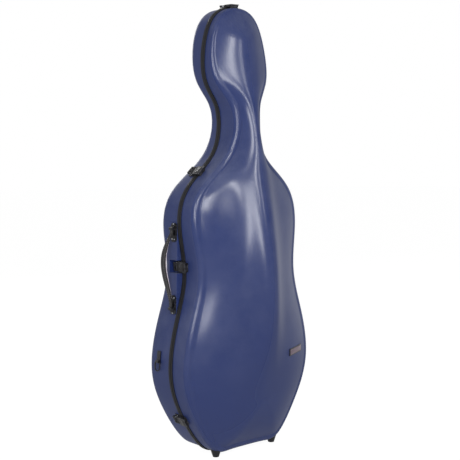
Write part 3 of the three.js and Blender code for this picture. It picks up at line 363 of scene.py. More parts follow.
def slab(half_length, half_width, corner, low, high, edge):
    """Plate in (t, y) with round corners, from n low to n high, its top edge a quarter circle."""
    flat = oblong(half_length, half_width, corner, 6)
    angle = np.linspace(0, math.pi / 2, 4)
    inset = np.concatenate([[0], edge * (1 - np.cos(angle))])
    level = np.concatenate([[low], high - edge + edge * np.sin(angle)])
    length = np.linalg.norm(flat, axis=1, keepdims=True)
    return loft(np.stack([
        np.column_stack([flat * (1 - k / length), np.full(len(flat), z)])
        for k, z in zip(inset, level)
    ]))


def stitch_shape(length):
    """Stitch: a fat ellipse carried along t and drawn in at both ends by a half sine."""
    share = np.linspace(0.12, 0.88, 5)[:, None]
    swell = STITCH_THICKNESS * np.sin(math.pi * share)
    angle = circle(6)
    rings = [(share - 0.5) * length + 0 * angle, 1.1 * swell * np.cos(angle), swell * np.sin(angle)]
    return loft(np.stack(rings, axis=-1))


# Pieces


@contextmanager
def edited(mesh, merge):
    """Opens a mesh for an edit with its doubles merged, and writes it back."""
    edit = bmesh.new()
    edit.from_mesh(mesh)
    bmesh.ops.remove_doubles(edit, verts=edit.verts, dist=merge)
    yield edit
    edit.to_mesh(mesh)
    edit.free()


def mesh_of(name, shape):
    """Mesh of a shape with its poles closed and its faces outwards."""
    points, quads = shape
    mesh = bpy.data.meshes.new(name)
    mesh.from_pydata(points.tolist(), [], quads.tolist())
    with edited(mesh, merge=2e-5) as edit:
        bmesh.ops.recalc_face_normals(edit, faces=edit.faces)
    return mesh


def merged_node(node):
    """Copy of a CAD node's mesh with its flat faces whole."""
    mesh = NODES[node].data.copy()
    with edited(mesh, merge=1e-6) as edit:
        bmesh.ops.dissolve_limit(
            edit, angle_limit=math.radians(0.5), verts=edit.verts, edges=edit.edges)
    return mesh


def vertex_values(mesh, attribute):
    """Points or normals of the mesh as an array."""
    values = np.empty(len(mesh.vertices) * 3)
    mesh.vertices.foreach_get(attribute, values)
    return values.reshape(-1, 3)


def new_object(name, data):
    """Object of the data, linked into the scene."""
    made = bpy.data.objects.new(name, data)
    bpy.context.scene.collection.objects.link(made)
    return made


def add_piece(name, shape, material, body, stands_for=(), sharp=35):
    """Smooth piece of a shape or mesh with sharp edges past an angle in degrees, in place of the
    CAD nodes that it stands for, in its material."""
    mesh = shape if isinstance(shape, bpy.types.Mesh) else mesh_of(name, shape)
    mesh.shade_smooth()
    mesh.set_sharp_from_angle(angle=math.radians(sharp))
    piece = new_object(name, mesh)
    piece.data.materials.clear()
    piece.data.materials.append(finish(material))
    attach(piece, body)
    if stands_for:
        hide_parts(*stands_for)
    return piece


def bevelled(node, suffix, material, body, width):
    """The node's own shape with its sharp edges broken by a bevel of two steps."""
    limit = 28
    piece = add_piece(f"{node}_{suffix}", merged_node(node), material, body, (node,), limit)
    bevel = piece.modifiers.new("Broken edges", "BEVEL")
    bevel.width = width
    bevel.segments = 2
    bevel.limit_method = "ANGLE"
    bevel.angle_limit = math.radians(limit)
    bevel.harden_normals = True
    return piece


def subdivide(piece, levels):
    """Rounds the piece by subdivisions."""
    rounding = piece.modifiers.new("Rounding", "SUBSURF")
    rounding.levels = rounding.render_levels = levels


def add_rivets(name, frames, radius, height, body, sunk=0.0002):
    """Piece of steel rivet heads, one in each frame."""
    add_piece(name, scatter(dome(radius, height, sunk), frames), "Steel", body)


def joint_frame(name):
    """Local frame of a joint: t is its axis, y lies across the seam and n square to both."""
    t = unit(np.array(JOINTS[name]["axis"], float))
    return frame_at(JOINTS[name]["pos_m"], t, ACROSS, unit(np.cross(t, ACROSS)))


# Nodes


def add_node(tree, kind, sockets=None, **settings):
    """Node of a kind with its settings, each named socket set to a value or linked."""
    made = tree.nodes.new(kind)
    for key, value in settings.items():
        setattr(made, key, value)
    for key, value in (sockets or {}).items():
        if isinstance(value, bpy.types.NodeSocket):
            tree.links.new(value, made.inputs[key])
        else:
            made.inputs[key].default_value = value
    return made


def combine(tree, operation, a, b=0.0):
    """Math node of values or sockets."""
    return add_node(tree, "ShaderNodeMath", {0: a, 1: b}, operation=operation).outputs[0]


def times(tree, a, b):
    """Product of two values or sockets."""
    return combine(tree, "MULTIPLY", a, b)


def ranged(tree, value, low, high, to_low=0.0, to_high=1.0, curve="LINEAR"):
    """The value spread from one range to another."""
    return add_node(tree, "ShaderNodeMapRange", {
        "Value": value, "From Min": low, "From Max": high, "To Min": to_low, "To Max": to_high,
    }, interpolation_type=curve).outputs[0]


def mixed(tree, mask, a, b):
    """Colour a where the mask is 0 and b where it is 1; either may be a socket."""
    ends = [
        value if isinstance(value, bpy.types.NodeSocket) else (*value[:3], 1.0)
        for value in (a, b)
    ]
    sockets = {0: mask, 6: ends[0], 7: ends[1]}  # 6 and 7 in and 2 out are its colours
    return add_node(tree, "ShaderNodeMix", sockets, data_type="RGBA").outputs[2]


def object_place(tree):
    """Object coordinates."""
    return add_node(tree, "ShaderNodeTexCoord").outputs["Object"]


def noise(tree, scale, detail, roughness=0.5, stretch=None):
    """Noise of object coordinates at a scale, which may be stretched along an axis."""
    place = object_place(tree)
    if stretch:
        place = add_node(tree, "ShaderNodeMapping", {"Vector": place, "Scale": stretch}).outputs[0]
    return add_node(tree, "ShaderNodeTexNoise", {
        "Vector": place, "Scale": scale, "Detail": detail, "Roughness": roughness}).outputs[0]


def cells(tree, scale, feature):
    """Distance in a Voronoi pattern of object coordinates."""
    sockets = {"Vector": object_place(tree), "Scale": scale}
    return add_node(tree, "ShaderNodeTexVoronoi", sockets, feature=feature).outputs["Distance"]


# Shader groups: each function builds the nodes from the sockets given and returns what comes out


def ripple(tree, given):
    """Lacquer: a slow ripple and a fine peel as one height, and a cloud mask."""
    slow = times(tree, noise(tree, given["Ripple"], 1.0), 0.7)
    fine = times(tree, noise(tree, given["Peel"], 2.0), 0.3)
    cloud = ranged(tree, noise(tree, 3.2, 4.0), 0.35, 0.65)
    return {"Height": combine(tree, "ADD", slow, fine), "Cloud": cloud}


def grain(tree, given):
    """Moulded grain: cells of a Voronoi pattern broken by noise, as a height and a mask."""
    blotch = noise(tree, given["Blotch"], 5.0, 0.6)
    height = times(tree, cells(tree, given["Cells"], "SMOOTH_F1"), blotch)
    return {"Height": height, "Mask": ranged(tree, blotch, 0.38, 0.66)}


def wear(tree, given):
    """Rubbed edges: how sharply the surface turns, broken by noise."""
    point = add_node(tree, "ShaderNodeNewGeometry").outputs["Pointiness"]
    flat = 0.5  # what a plane gives
    edge = ranged(tree, point, flat, combine(tree, "ADD", given["Reach"], flat))
    broken = ranged(tree, noise(tree, given["Break"], 4.0, 0.65), 0.42, 0.62)
    return {"Mask": times(tree, edge, broken)}


def dust_and_top_light(tree, given):
    """Mask of dusty specks and of broad patches of painted highlight, both stronger the more the
    surface faces up.
    """
    normal = add_node(tree, "ShaderNodeNewGeometry").outputs["Normal"]
    up = ranged(tree, add_node(tree, "ShaderNodeSeparateXYZ", {0: normal}).outputs[2], -0.2, 1.0)
    specks = ranged(tree, noise(tree, given["Specks"], 2.0), 0.6, 0.72)
    # Painted highlight: broad pale patches, stronger the more the surface faces up
    painted_haze = ranged(tree, noise(tree, 7.0, 5.0, 0.6), 0.4, 0.7)
    dusted_and_lit = times(tree, combine(tree, "ADD", specks, painted_haze), up)
    return {"Mask": times(tree, dusted_and_lit, given["Amount"])}


def brush(tree, given):
    """Brushed metal: noise drawn out along Z, as a height and a mask."""
    lines = noise(tree, given["Lines"], 4.0, 0.7, (1.0, 1.0, 0.03))
    return {"Height": lines, "Mask": ranged(tree, lines, 0.35, 0.65)}


def weave(tree, given):
    """Weave: two crossing waves of object coordinates, over and under by their product."""
    x, y, z = add_node(tree, "ShaderNodeSeparateXYZ", {0: object_place(tree)}).outputs
    waves = [
        combine(tree, "SINE", times(tree, value, given["Threads"]))
        for value in (combine(tree, "ADD", x, y), z)
    ]
    woven = ranged(tree, times(tree, *waves), -1.0, 1.0)
    fuzz = noise(tree, given["Fuzz"], 6.0, 0.7)
    height = combine(tree, "ADD", woven, times(tree, fuzz, 0.5))
    return {"Height": height, "Mask": times(tree, woven, fuzz)}


def pile(tree, given):
    """Pile: short fibres as fine noise, and a nap that lies this way and that in patches."""
    fibre = noise(tree, given["Fibre"], 3.0, 0.7)
    nap = ranged(tree, noise(tree, given["Nap"], 4.0, 0.55), 0.36, 0.64)
    height = combine(tree, "ADD", fibre, times(tree, nap, 0.25))
    return {"Height": height, "Mask": times(tree, nap, ranged(tree, fibre, 0.25, 0.75, 0.5, 1.0))}


def pebbles(tree, given):
    """Leather: pebbles of a Voronoi pattern with creases between them."""
    pebble = ranged(tree, cells(tree, given["Pebbles"], "DISTANCE_TO_EDGE"), 0.0, 0.25)
    return {"Height": pebble, "Mask": times(tree, pebble, noise(tree, 90.0, 4.0))}


GROUPS = {
    "Lacquer ripple": (ripple, {"Ripple": 26.0, "Peel": 520.0}),
    "Moulded grain": (grain, {"Cells": 1500.0, "Blotch": 60.0}),
    "Edge wear": (wear, {"Reach": 0.06, "Break": 160.0}),
    # Dusty specks and a painted highlight, both on what faces up
    "Settled dust": (dust_and_top_light, {"Specks": 900.0, "Amount": 0.5}),
    "Brushed lines": (brush, {"Lines": 900.0}),
    "Weave": (weave, {"Threads": 900.0, "Fuzz": 300.0}),
    "Pile": (pile, {"Fibre": 1400.0, "Nap": 16.0}),
    "Leather pebble": (pebbles, {"Pebbles": 620.0}),
}


def new_group(name):
    """The named group, with float sockets for what its function takes and gives."""
    build, inputs = GROUPS[name]
    tree = bpy.data.node_groups.new(name, "ShaderNodeTree")

    def add_socket(label, way):
        return tree.interface.new_socket(name=label, in_out=way, socket_type="NodeSocketFloat")

    for label, value in inputs.items():
        add_socket(label, "INPUT").default_value = value
    results = build(tree, add_node(tree, "NodeGroupInput").outputs)
    for label in results:
        add_socket(label, "OUTPUT")
    add_node(tree, "NodeGroupOutput", results)
    return tree


def placed_group(tree, name, **values):
    """Outputs of the group's node in a material, made on first use, with its own values."""
    group = bpy.data.node_groups.get(name) or new_group(name)
    sockets = {key.capitalize(): value for key, value in values.items()}
    return add_node(tree, "ShaderNodeGroup", sockets, node_tree=group).outputs


# Finishes: each look returns the sockets of the base colour, the roughness and the bump's height


def linear(*levels):
    """Linear colour of 8-bit display levels."""
    share = np.array(levels) / 255
    return tuple(np.where(share <= 0.04045, share / 12.92, ((share + 0.055) / 1.055) ** 2.4))


def colour_of(named):
    """Linear colour of display levels, or of a setting's name and the factor on its colour."""
    if isinstance(named[0], str):
        setting, factor = named
        return [level * factor for level in getattr(bpy.context.scene.cello_case, setting)]
    return linear(*named)


def masked(group, dark, light, smooth, rough, **values):
    """Look that runs from the dark colour and the first roughness to the others by a group's
    mask."""

    def look(tree):
        made = placed_group(tree, group, **values)
        colour = mixed(tree, made["Mask"], colour_of(dark), colour_of(light))
        return colour, ranged(tree, made["Mask"], 0.0, 1.0, smooth, rough), made["Height"]

    return look


def lacquer(tree):
    """Satin lacquer over composite: faint clouds, dusty specks and a painted pale highlight on
    what faces up, a slow ripple and a fine peel. Its gloss is duller towards the edge of what
    is seen."""
    peel = placed_group(tree, "Lacquer ripple")
    # Mask of dusty specks and of a painted highlight on what faces up
    dusted_and_lit = placed_group(tree, "Settled dust", amount=0.25)["Mask"]
    clouded = mixed(
        tree, peel["Cloud"], colour_of(("lacquer", 0.93)), colour_of(("lacquer", 1.0)))
    # Dusty specks and a painted pale blue-grey highlight where the surface faces up
    colour = mixed(tree, dusted_and_lit, clouded, linear(150, 155, 175))
    least = bpy.context.scene.cello_case.lacquer_roughness
    away = add_node(tree, "ShaderNodeLayerWeight").outputs["Facing"]
    edge = ranged(tree, away, 0.1, 0.55, 0.0, 0.42, "SMOOTHSTEP")
    dull = ranged(tree, dusted_and_lit, 0.0, 1.0, least, least + 0.2)
    return colour, combine(tree, "ADD", dull, edge), peel["Height"]


def nylon(tree):
    """Glass-filled nylon: spark grain, and edges rubbed paler."""
    dark, roughness, height = masked(
        "Moulded grain", (9, 9, 11), (20, 20, 23), 0.38, 0.54, cells=1900.0, blotch=70.0)(tree)
    rubbed = placed_group(tree, "Edge wear", reach=0.07)["Mask"]
    return mixed(tree, rubbed, dark, linear(58, 58, 63)), roughness, height


class Finish(NamedTuple):
    """Slot of a finish, strength and depth in metres of its bump, its look and constants."""

    slot: str
    strength: float
    depth: float
    look: Callable
    constants: dict


DULL = {"Specular IOR Level": 0.25}
FINISHES = {
    "Satin lacquer": Finish(
        "shell_lacquer", 0.02, 0.002, lacquer, {"Specular IOR Level": 0.32}),
    "Rubber": Finish(
        "seam_rubber", 0.12, 0.0004,
        masked("Moulded grain", (7, 7, 9), (20, 20, 24), 0.5, 0.72, cells=1100.0, blotch=34.0),
        DULL),
    "Nylon": Finish("hardware_plastic", 0.18, 0.0003, nylon, {"Specular IOR Level": 0.18}),
    "Steel": Finish(
        "bracket_steel", 0.08, 0.0002,
        masked("Brushed lines", (128, 130, 136), (176, 178, 184), 0.28, 0.45), {"Metallic": 1.0}),
    "Blackened steel": Finish(
        "bracket_steel", 0.08, 0.0002,
        masked("Brushed lines", (30, 30, 34), (58, 58, 64), 0.34, 0.52, lines=700.0),
        {"Metallic": 0.8}),
    "Plush": Finish(
        "plush_lining", 0.5, 0.001,
        masked("Pile", ("lining", 1.0), ("lining", 1.9), 0.95, 0.8),
        {"Sheen Weight": 0.5, "Sheen Roughness": 0.4, **DULL}),
    "Velvet": Finish(
        "velvet_foam", 0.5, 0.001,
        masked("Pile", ("lining", 1.25), ("lining", 2.3), 0.95, 0.8, fibre=1700.0, nap=24.0),
        {"Sheen Weight": 0.6, "Sheen Roughness": 0.35, **DULL}),
    "Leather": Finish(
        "handle_leather", 0.35, 0.0004,
        masked("Leather pebble", (20, 20, 22), (52, 50, 52), 0.62, 0.42),
        {"Specular IOR Level": 0.3}),
    "Pad cloth": Finish(
        "handle_pad", 0.3, 0.0004,
        masked("Weave", ("pad", 0.72), ("pad", 1.0), 0.85, 0.65, threads=2600.0),
        {"Sheen Weight": 0.3}),
    "Webbing": Finish(
        "handle_leather", 0.5, 0.0005,
        masked("Weave", (18, 18, 20), (58, 58, 62), 0.75, 0.55, threads=1900.0), DULL),
    "Thread": Finish(
        "handle_leather", 0.3, 0.0002,
        masked("Weave", (92, 90, 96), (150, 146, 152), 0.7, 0.5, threads=5200.0), DULL),
    "Plate": Finish(
        "bracket_steel", 0.05, 0.0002,
        masked("Brushed lines", (78, 64, 76), (104, 86, 98), 0.36, 0.5, lines=1600.0),
        {"Metallic": 0.7}),
    "Plate trim": Finish(
        "bracket_steel", 0.05, 0.0002,
        masked("Brushed lines", (14, 13, 17), (30, 28, 34), 0.36, 0.5, lines=1200.0), DULL),
}


def new_material(name):
    """Material with its node tree and its principled shader."""
    material = bpy.data.materials.new(name)
    material.use_nodes = True
    return material, material.node_tree, material.node_tree.nodes["Principled BSDF"]


def finish(name):
    """The named material, made on first use."""
    if name in bpy.data.materials:
        return bpy.data.materials[name]
    made = FINISHES[name]
    material, tree, shader = new_material(name)
    for key, value in made.constants.items():
        shader.inputs[key].default_value = value
    colour, roughness, height = made.look(tree)
    bump = add_node(tree, "ShaderNodeBump", {
        "Strength": made.strength, "Distance": made.depth, "Height": height}).outputs[0]
    for key, socket in (("Base Color", colour), ("Roughness", roughness), ("Normal", bump)):
        tree.links.new(socket, shader.inputs[key])
    return material


# Settings


class CelloCaseSettings(bpy.types.PropertyGroup):
    """Sizes and colours of the case's finish."""

    lacquer: FloatVectorProperty(
        name="Lacquer", description="Colour of both shells", subtype="COLOR", size=3, min=0,
        max=1, default=linear(27, 41, 87))
    lacquer_roughness: FloatProperty(
        name="Lacquer roughness", description="How satin the lacquer is", subtype="FACTOR", min=0,
        max=1, default=0.2)
    lining: FloatVectorProperty(
        name="Lining", description="Colour of the plush in the creases of its nap",
        subtype="COLOR", size=3, min=0, max=1, default=linear(30, 33, 46))
    pad: FloatVectorProperty(
        name="Handle pad", description="Colour of the pad under the handle", subtype="COLOR",
        size=3, min=0, max=1, default=linear(205, 194, 205))
    broken_edge: FloatProperty(
        name="Broken edge", description="Width of the bevel on hardware", subtype="DISTANCE",
        unit="LENGTH", default=0.0005)
    stitch: FloatProperty(
        name="Stitch", description="Length of one stitch of the handle", subtype="DISTANCE",
        unit="LENGTH", default=0.0042)
    swell: FloatProperty(
        name="Swell", description="How far the foam's cover may swell", subtype="DISTANCE",
        unit="LENGTH", default=0.0035)
    round_steps: IntProperty(
        name="Steps round the case", description="Points of the shells' outline", default=400,
        min=60)
    lamp_power: FloatProperty(
        name="Lamp power", description="Share of the studio lamps' full power",
        subtype="FACTOR", min=0, soft_max=2, default=1.0)


# Operators


SHELL_ROWS = 30


class Undoable:
    """Lets an operator be undone and its settings be changed afterwards."""

    bl_options = {"REGISTER", "UNDO"}


class CASE_OT_shells(Undoable, bpy.types.Operator):
    """Add the moulded lid and back shells with their satin lacquer"""

    bl_idname = "cello_case.shells"
    bl_label = "Shells"

    def execute(self, context):
        line = outline(context.scene.cello_case.round_steps)
        for body, shell in SHELLS.items():
            shape = walled(*(skin(shell, off, line, SHELL_ROWS) for off in (0, SHELL_WALL)))
            add_piece(body + "_skin", shape, "Satin lacquer", body, (body + "_shell",),
                      sharp=50)
        return {"FINISHED"}


# Seam's rubber by node: body, and corners of its section as outwards, from the seam, radius
INSIDE, TUCK = -SHELL_WALL, RIM_SETBACK - GAP
SEAM = {
    "seam_band": ("back", [
        [INSIDE, SEAM_GAP, 0.0004], [0.0044, SEAM_GAP, 0.0012], [0.0044, 0.0046, 0.0002],
        [0.004, 0.005, 0.0002], [0.004, 0.0056, 0.0002], [0.0044, 0.006, 0.0002],
        [0.0044, 0.0096, 0.0014], [GAP, 0.0096, 0.0001], [GAP, TUCK, 0.0002],
        [INSIDE, TUCK, 0.0003]]),
    "seam_lip": ("lid", [
        [INSIDE, SEAM_GAP, 0.0004], [0.003, SEAM_GAP, 0.0008], [0.003, 0.006, 0.0012],
        [GAP, 0.006, 0.0001], [GAP, TUCK, 0.0002], [INSIDE, TUCK, 0.0003]]),
}


class CASE_OT_seam(Undoable, bpy.types.Operator):
    """Add the rubber band on the back shell's rim and the lip on the lid's"""

    bl_idname = "cello_case.seam"
    bl_label = "Seam rubber"

    def execute(self, context):
        line = outline(context.scene.cello_case.round_steps)
        for node, (body, corners) in SEAM.items():
            shape = carried(rounded(corners), line, SHELLS[body]["side"])
            add_piece(node + "_rubber", shape, "Rubber", body, (node,))
        return {"FINISHED"}


# Lining: its steps round and rows, the depth and numbers of its waves, and its piping
LINING_STEPS, LINING_ROWS, LINING_FILLET_ROWS = 280, 26, 6
LINING_DIP, LINING_WAVES = 0.0007, (95, 21, 83)
PIPING_RADIUS, PIPING_SUNK = 0.0018, 0.001


def lining_body(shell, line):
    """Lining: its back lies flat near the shell, and its padded face dips by two slow waves of its
    place, more and more from the rim."""
    start = SHELL_WALL + LINING_GAP
    outer, inner = (
        skin(shell, off, line, LINING_ROWS, LINING_FILLET_ROWS) for off in (start, start + LINING))
    x, h, (a, b, c) = inner[..., 0], inner[..., 2], LINING_WAVES
    wave = 0.5 + 0.25 * (np.sin(x * a + h * b) + np.sin(h * c))
    inwards = np.linspace(0, 1, len(inner))[:, None] ** 0.5
    inner[..., 1] += shell["side"] * LINING_DIP * wave * inwards
    return walled(outer, inner)


def piping(line, side):
    """Round cord sewn along the lining's rim."""
    middle = [-(SHELL_WALL + LINING_GAP + LINING / 2), RIM_SETBACK - PIPING_SUNK]
    angle = circle(8)
    section = PIPING_RADIUS * np.column_stack([np.cos(angle), np.sin(angle)]) + middle
    return carried(section, line, side)


class CASE_OT_linings(Undoable, bpy.types.Operator):
    """Add the padded plush lining of both shells with its piping"""

    bl_idname = "cello_case.linings"
    bl_label = "Linings"

    def execute(self, context):
        line, rim = outline(LINING_STEPS), outline(context.scene.cello_case.round_steps)
        for body, shell in SHELLS.items():
            name = body + "_plush"
            piece = add_piece(name, lining_body(shell, line), "Plush", body,
                              (body + "_lining",), sharp=60)
            add_piece(name + "_piping", piping(rim, shell["side"]), "Leather", body)
        return {"FINISHED"}


# Foam by body, with the size of its even faces, and the frames that its cover swells for
FOAM = {
    "back": {
        "lower_cradle": 0.005, "waist_pad_left": 0.004, "waist_pad_right": 0.004,
        "shoulder_pad_left": 0.004, "shoulder_pad_right": 0.004, "neck_cradle": 0.004,
        "scroll_pad": 0.004,
    },
    "lid": {"bow_rest_left": 0.0025, "bow_rest_right": 0.0025},
}
SWELL_FRAMES = 20


def evaluated_copy(piece):
    """Mesh of a piece with its modifiers applied."""
    depsgraph = bpy.context.evaluated_depsgraph_get()
    return bpy.data.meshes.new_from_object(piece.evaluated_get(depsgraph))


def give_mesh(piece, mesh, points):
    """Gives the piece a mesh that has its modifiers applied already, at new points."""
    mesh.vertices.foreach_set("co", points.ravel())
    piece.modifiers.clear()
    piece.data = mesh


def velvet_cover(node, body, voxel, swell):
    """The node's remeshed skin, a little inside it, ready to swell."""
    pad = add_piece(node + "_velvet", merged_node(node), "Velvet", body, (node,))
    remesh = pad.modifiers.new("Even faces", "REMESH")
    remesh.mode = "VOXEL"
    remesh.voxel_size = voxel
    mesh = evaluated_copy(pad)
    give_mesh(pad, mesh, vertex_values(mesh, "co") - vertex_values(mesh, "normal") * swell)
    cloth = pad.modifiers.new("Swell", "CLOTH")
    cloth.settings.use_pressure = True
    cloth.settings.uniform_pressure_force = 4
    cloth.settings.effector_weights.gravity = 0
    return pad


def capped_move(start, end, cap):
    """End points drawn back so that none is further than the cap from its start."""
    move = end - start
    length = np.linalg.norm(move, axis=1, keepdims=True)
    return start + move * np.minimum(1, cap / np.maximum(length, 1e-9))


class CASE_OT_foam(Undoable, bpy.types.Operator):
    """Add the velvet-covered foam pieces, swollen by a cloth simulation"""

    bl_idname = "cello_case.foam"
    bl_label = "Foam"

    def execute(self, context):
        scene = context.scene
        swell = scene.cello_case.swell
        pads = [
            velvet_cover(node, body, voxel, swell)
            for body, nodes in FOAM.items() for node, voxel in nodes.items()
        ]
        starts = [vertex_values(pad.data, "co") for pad in pads]
        for number in range(1, SWELL_FRAMES + 1):
            scene.frame_set(number)
        for pad, start in zip(pads, starts):
            mesh = evaluated_copy(pad)
            give_mesh(pad, mesh, capped_move(start, vertex_values(mesh, "co"), swell))
            mesh.shade_smooth()
            subdivide(pad, 1)
        scene.frame_set(1)
        return {"FINISHED"}


# Neck strap: half its thickness, how far its arch stays inside its box, its flat tabs, its hem, its
# corners, its stitches, and the points of its path that bear none at each end
WEB_HALF, WEB_SUNK, WEB_TAB = 0.0011, 0.0012, 0.004
WEB_HEM, WEB_CORNER, WEB_STITCH, WEB_BARE = 0.003, 0.0006, 0.0035, 12


class CASE_OT_neck_strap(Undoable, bpy.types.Operator):
    """Add the woven strap over the neck, sewn to its cradle at both ends"""

    bl_idname = "cello_case.neck_strap"
    bl_label = "Neck strap"

    def execute(self, context):
        low, high = (np.array(corner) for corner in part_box("neck_strap"))
        half_root, arch, half_width = (high - low) / [2, 1, 2] - [WEB_TAB, WEB_SUNK, 0]
        angle = np.linspace(0, math.pi, 60)
        path = np.column_stack([-half_root * np.cos(angle), -arch * np.sin(angle), 0 * angle])
        tab = np.linspace(WEB_TAB, 0.0005, 4)[:, None] * [1, 0, 0]
        path = np.concatenate([path[:1] - tab, path, path[-1:] + tab[::-1]])
        run = unit(np.gradient(path, axis=0))
        out = np.cross(run, UP)
        path += [(low[0] + high[0]) / 2, high[1] - WEB_SUNK, (low[2] + high[2]) / 2]
        section = oblong(WEB_HALF, half_width, WEB_CORNER)
        rings = path[:, None] + out[:, None] * section[:, :1] + UP * section[:, 1:]
        add_piece("neck_strap_webbing", loft(rings), "Webbing", "back", ("neck_strap",))
        place = np.linspace(WEB_BARE, len(path) - 1 - WEB_BARE, 9).astype(int)
        path, run, out = path[place] + out[place] * WEB_HALF, run[place], out[place]
        frames = np.concatenate([
            frames_at(path + UP * z, run, np.cross(out, run), out)
            for z in (WEB_HEM - half_width, half_width - WEB_HEM)
        ])
        stitches = scatter(stitch_shape(WEB_STITCH), frames)
        add_piece("neck_strap_stitches", stitches, "Thread", "back")
        return {"FINISHED"}


# A foot's bevel, and its countersunk screw's profile as radius and height, and how deep it sits
FOOT_BEVEL, SCREW_DEPTH = 0.0012, 0.0004
SCREW = [[0.0045, -0.001], [0.0045, 0.0001], [0.0036, 0.0003], [0.003, -0.0002]]


class CASE_OT_feet(Undoable, bpy.types.Operator):
    """Add the four rubber feet with their screws"""

    bl_idname = "cello_case.feet"
    bl_label = "Feet"

    def execute(self, context):
        for body in SHELLS:
            for side in ("left", "right"):
                node = f"{body}_foot_{side}"
                low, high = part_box(node)
                bevelled(node, "rubber", "Rubber", body, FOOT_BEVEL)
                under = [(low.x + high.x) / 2, (low.y + high.y) / 2, low.z + SCREW_DEPTH]
                down = frame_at(under, (1, 0, 0), -ACROSS, -UP)
                add_piece(node + "_screw", scatter(loft(turned(SCREW)), [down]), "Steel", body)
        return {"FINISHED"}


# Latch, from its frame's origin: both pins by name (y, n, half length, radius and height of the
# heads), the rivets by part (body, half distance, y, radius, height), and the top of the mouldings
PINS = {
    "pivot": (0.0185, 0.0065, 0.016, 0.002, 0.0007),
    "eye": (0.026, 0.009, 0.0129, 0.0017, 0.0006),
}
RIVETS = {
    "base": ("back", 0.0065, 0.0295, 0.0024, 0.0011),
    "keeper": ("lid", 0.0075, -0.0098, 0.0018, 0.0008),
}
FLANGE_TOP, LATCH_TOP = 0.0026, 0.0116

# What stands out of the lever and the claw: its place along y, and the sizes that slab takes
RIB_PLACES, RIB = (0.0343, 0.0359, 0.0375), (0.0105, 0.00045, 0.0004, -0.0003, 0.0005, 0.0002)
PANEL_PLACE, PANEL = -0.0045, (0.0118, 0.0072, 0.0016, -0.0003, 0.0006, 0.0004)


class CASE_OT_latches(Undoable, bpy.types.Operator):
    """Add the four over-centre latches with their pins, rivets, ribs and panels"""

    bl_idname = "cello_case.latches"
    bl_label = "Latches"

    def execute(self, context):
        width = context.scene.cello_case.broken_edge
        for place in ("top", "shoulder", "waist", "bottom"):
            lever, claw = "lever_" + place, "claw_" + place
            bodies = {"base": "back", "lever": lever, "claw": claw, "keeper": "lid"}
            for part, body in bodies.items():
                bevelled(f"latch_{part}_{place}", "moulding", "Nylon", body, width)
            pivot = joint_frame("latch_lever_turn_" + place)
            local = shifted(pivot, y=-PINS["pivot"][0], n=-PINS["pivot"][1])
            for part, (y, n, half, radius, height) in PINS.items():
                heads = [facing(shifted(local, way * half, y, n), way) for way in (1, -1)]
                body = "back" if part == "pivot" else lever
                add_rivets(f"latch_{part}_heads_{place}", heads, radius, height, body)
            for part, (body, half, y, radius, height) in RIVETS.items():
                frames = seats(local, (-half, half), (y,), FLANGE_TOP)
                add_rivets(f"latch_{part}_rivets_{place}", frames, radius, height, body)
            ribs = scatter(slab(*RIB), seats(local, (0,), RIB_PLACES, LATCH_TOP))
            add_piece(f"latch_lever_ribs_{place}", ribs, "Nylon", lever)
            panel = scatter(slab(*PANEL), [shifted(local, y=PANEL_PLACE, n=LATCH_TOP)])
            add_piece(f"latch_claw_panel_{place}", panel, "Nylon", claw)
        return {"FINISHED"}


# Rivets of a hinge's leaf, from its middle on the pin: places along it, across and out
LEAF_PLACES, LEAF_ACROSS, LEAF_TOP = (-0.021, 0, 0.021), 0.03, -0.0066


class CASE_OT_hinges(Undoable, bpy.types.Operator):
    """Add the three hinges with their rivets"""

    bl_idname = "cello_case.hinges"
    bl_label = "Hinges"

    def execute(self, context):
        local = joint_frame("lid_hinge")
        local[:3, 2] *= -1  # outwards
        for place in ("lower", "middle", "upper"):
            for body, shell in reversed(SHELLS.items()):
                node = f"hinge_{body}_leaf_{place}"
                bevelled(node, "moulding", "Nylon", body, context.scene.cello_case.broken_edge)
                low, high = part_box(node)
                middle = shifted(local, ((low.z + high.z) / 2 - local[2, 3]) / local[2, 0])
                across = shell["side"] * LEAF_ACROSS
                frames = seats(middle, LEAF_PLACES, (across,), LEAF_TOP)
                name = f"hinge_{body}_rivets_{place}"
                add_rivets(name, frames, radius=0.0026, height=0.0012, body=body, sunk=0.0004)
        return {"FINISHED"}


# Handle: its land, the strap between its pins, its stitches as shares of their length, of half the
# width and of the strap's length, the barrels on its pins, and the pad under it
LAND_BEVEL = 0.0016
LAND_LOW, LAND_HIGH, ANCHOR_INSET = 0.3239 * CASE_HEIGHT, 0.5284 * CASE_HEIGHT, 0.029
LAND_LEAN = half_width_at(LAND_HIGH) - half_width_at(LAND_LOW)
STRAP_LENGTH = math.hypot(LAND_HIGH - LAND_LOW, LAND_LEAN) - 2 * ANCHOR_INSET
STRAP_RISE, STRAP_LEAN, STRAP_THICKNESS = 0.0305, 1.36, 0.0046
STRAP_NARROW, STRAP_WIDE, STRAP_TAPER = 0.0046, 0.009, 0.3
STRAP_TOP = STRAP_THICKNESS / 2 - 0.0003
STITCH_PITCH, STITCH_LINE, STITCH_START, STITCHED = 1.35, 0.66, 0.08, 0.86
BARREL_RADIUS, BARREL_BORE, BARREL_LENGTH = 0.005, 0.0022, 0.0163
BARREL_EDGE, BARREL_SHOULDER, BARREL_OUT = 0.0008, 0.0142, 0.0073
PAD_START, PAD_WIDE, PAD_THIN, PAD_THICK, PAD_PIPING = 0.09, 0.0082, 0.0012, 0.0064, 0.0005

# Rivets of the anchors: distances inside the pins, places across them, and their seat's level
ANCHOR_RIVETS = ((-0.025, (0,)), (0.02, (-0.0056, 0.0056)))
ANCHOR_TOP = -0.0057

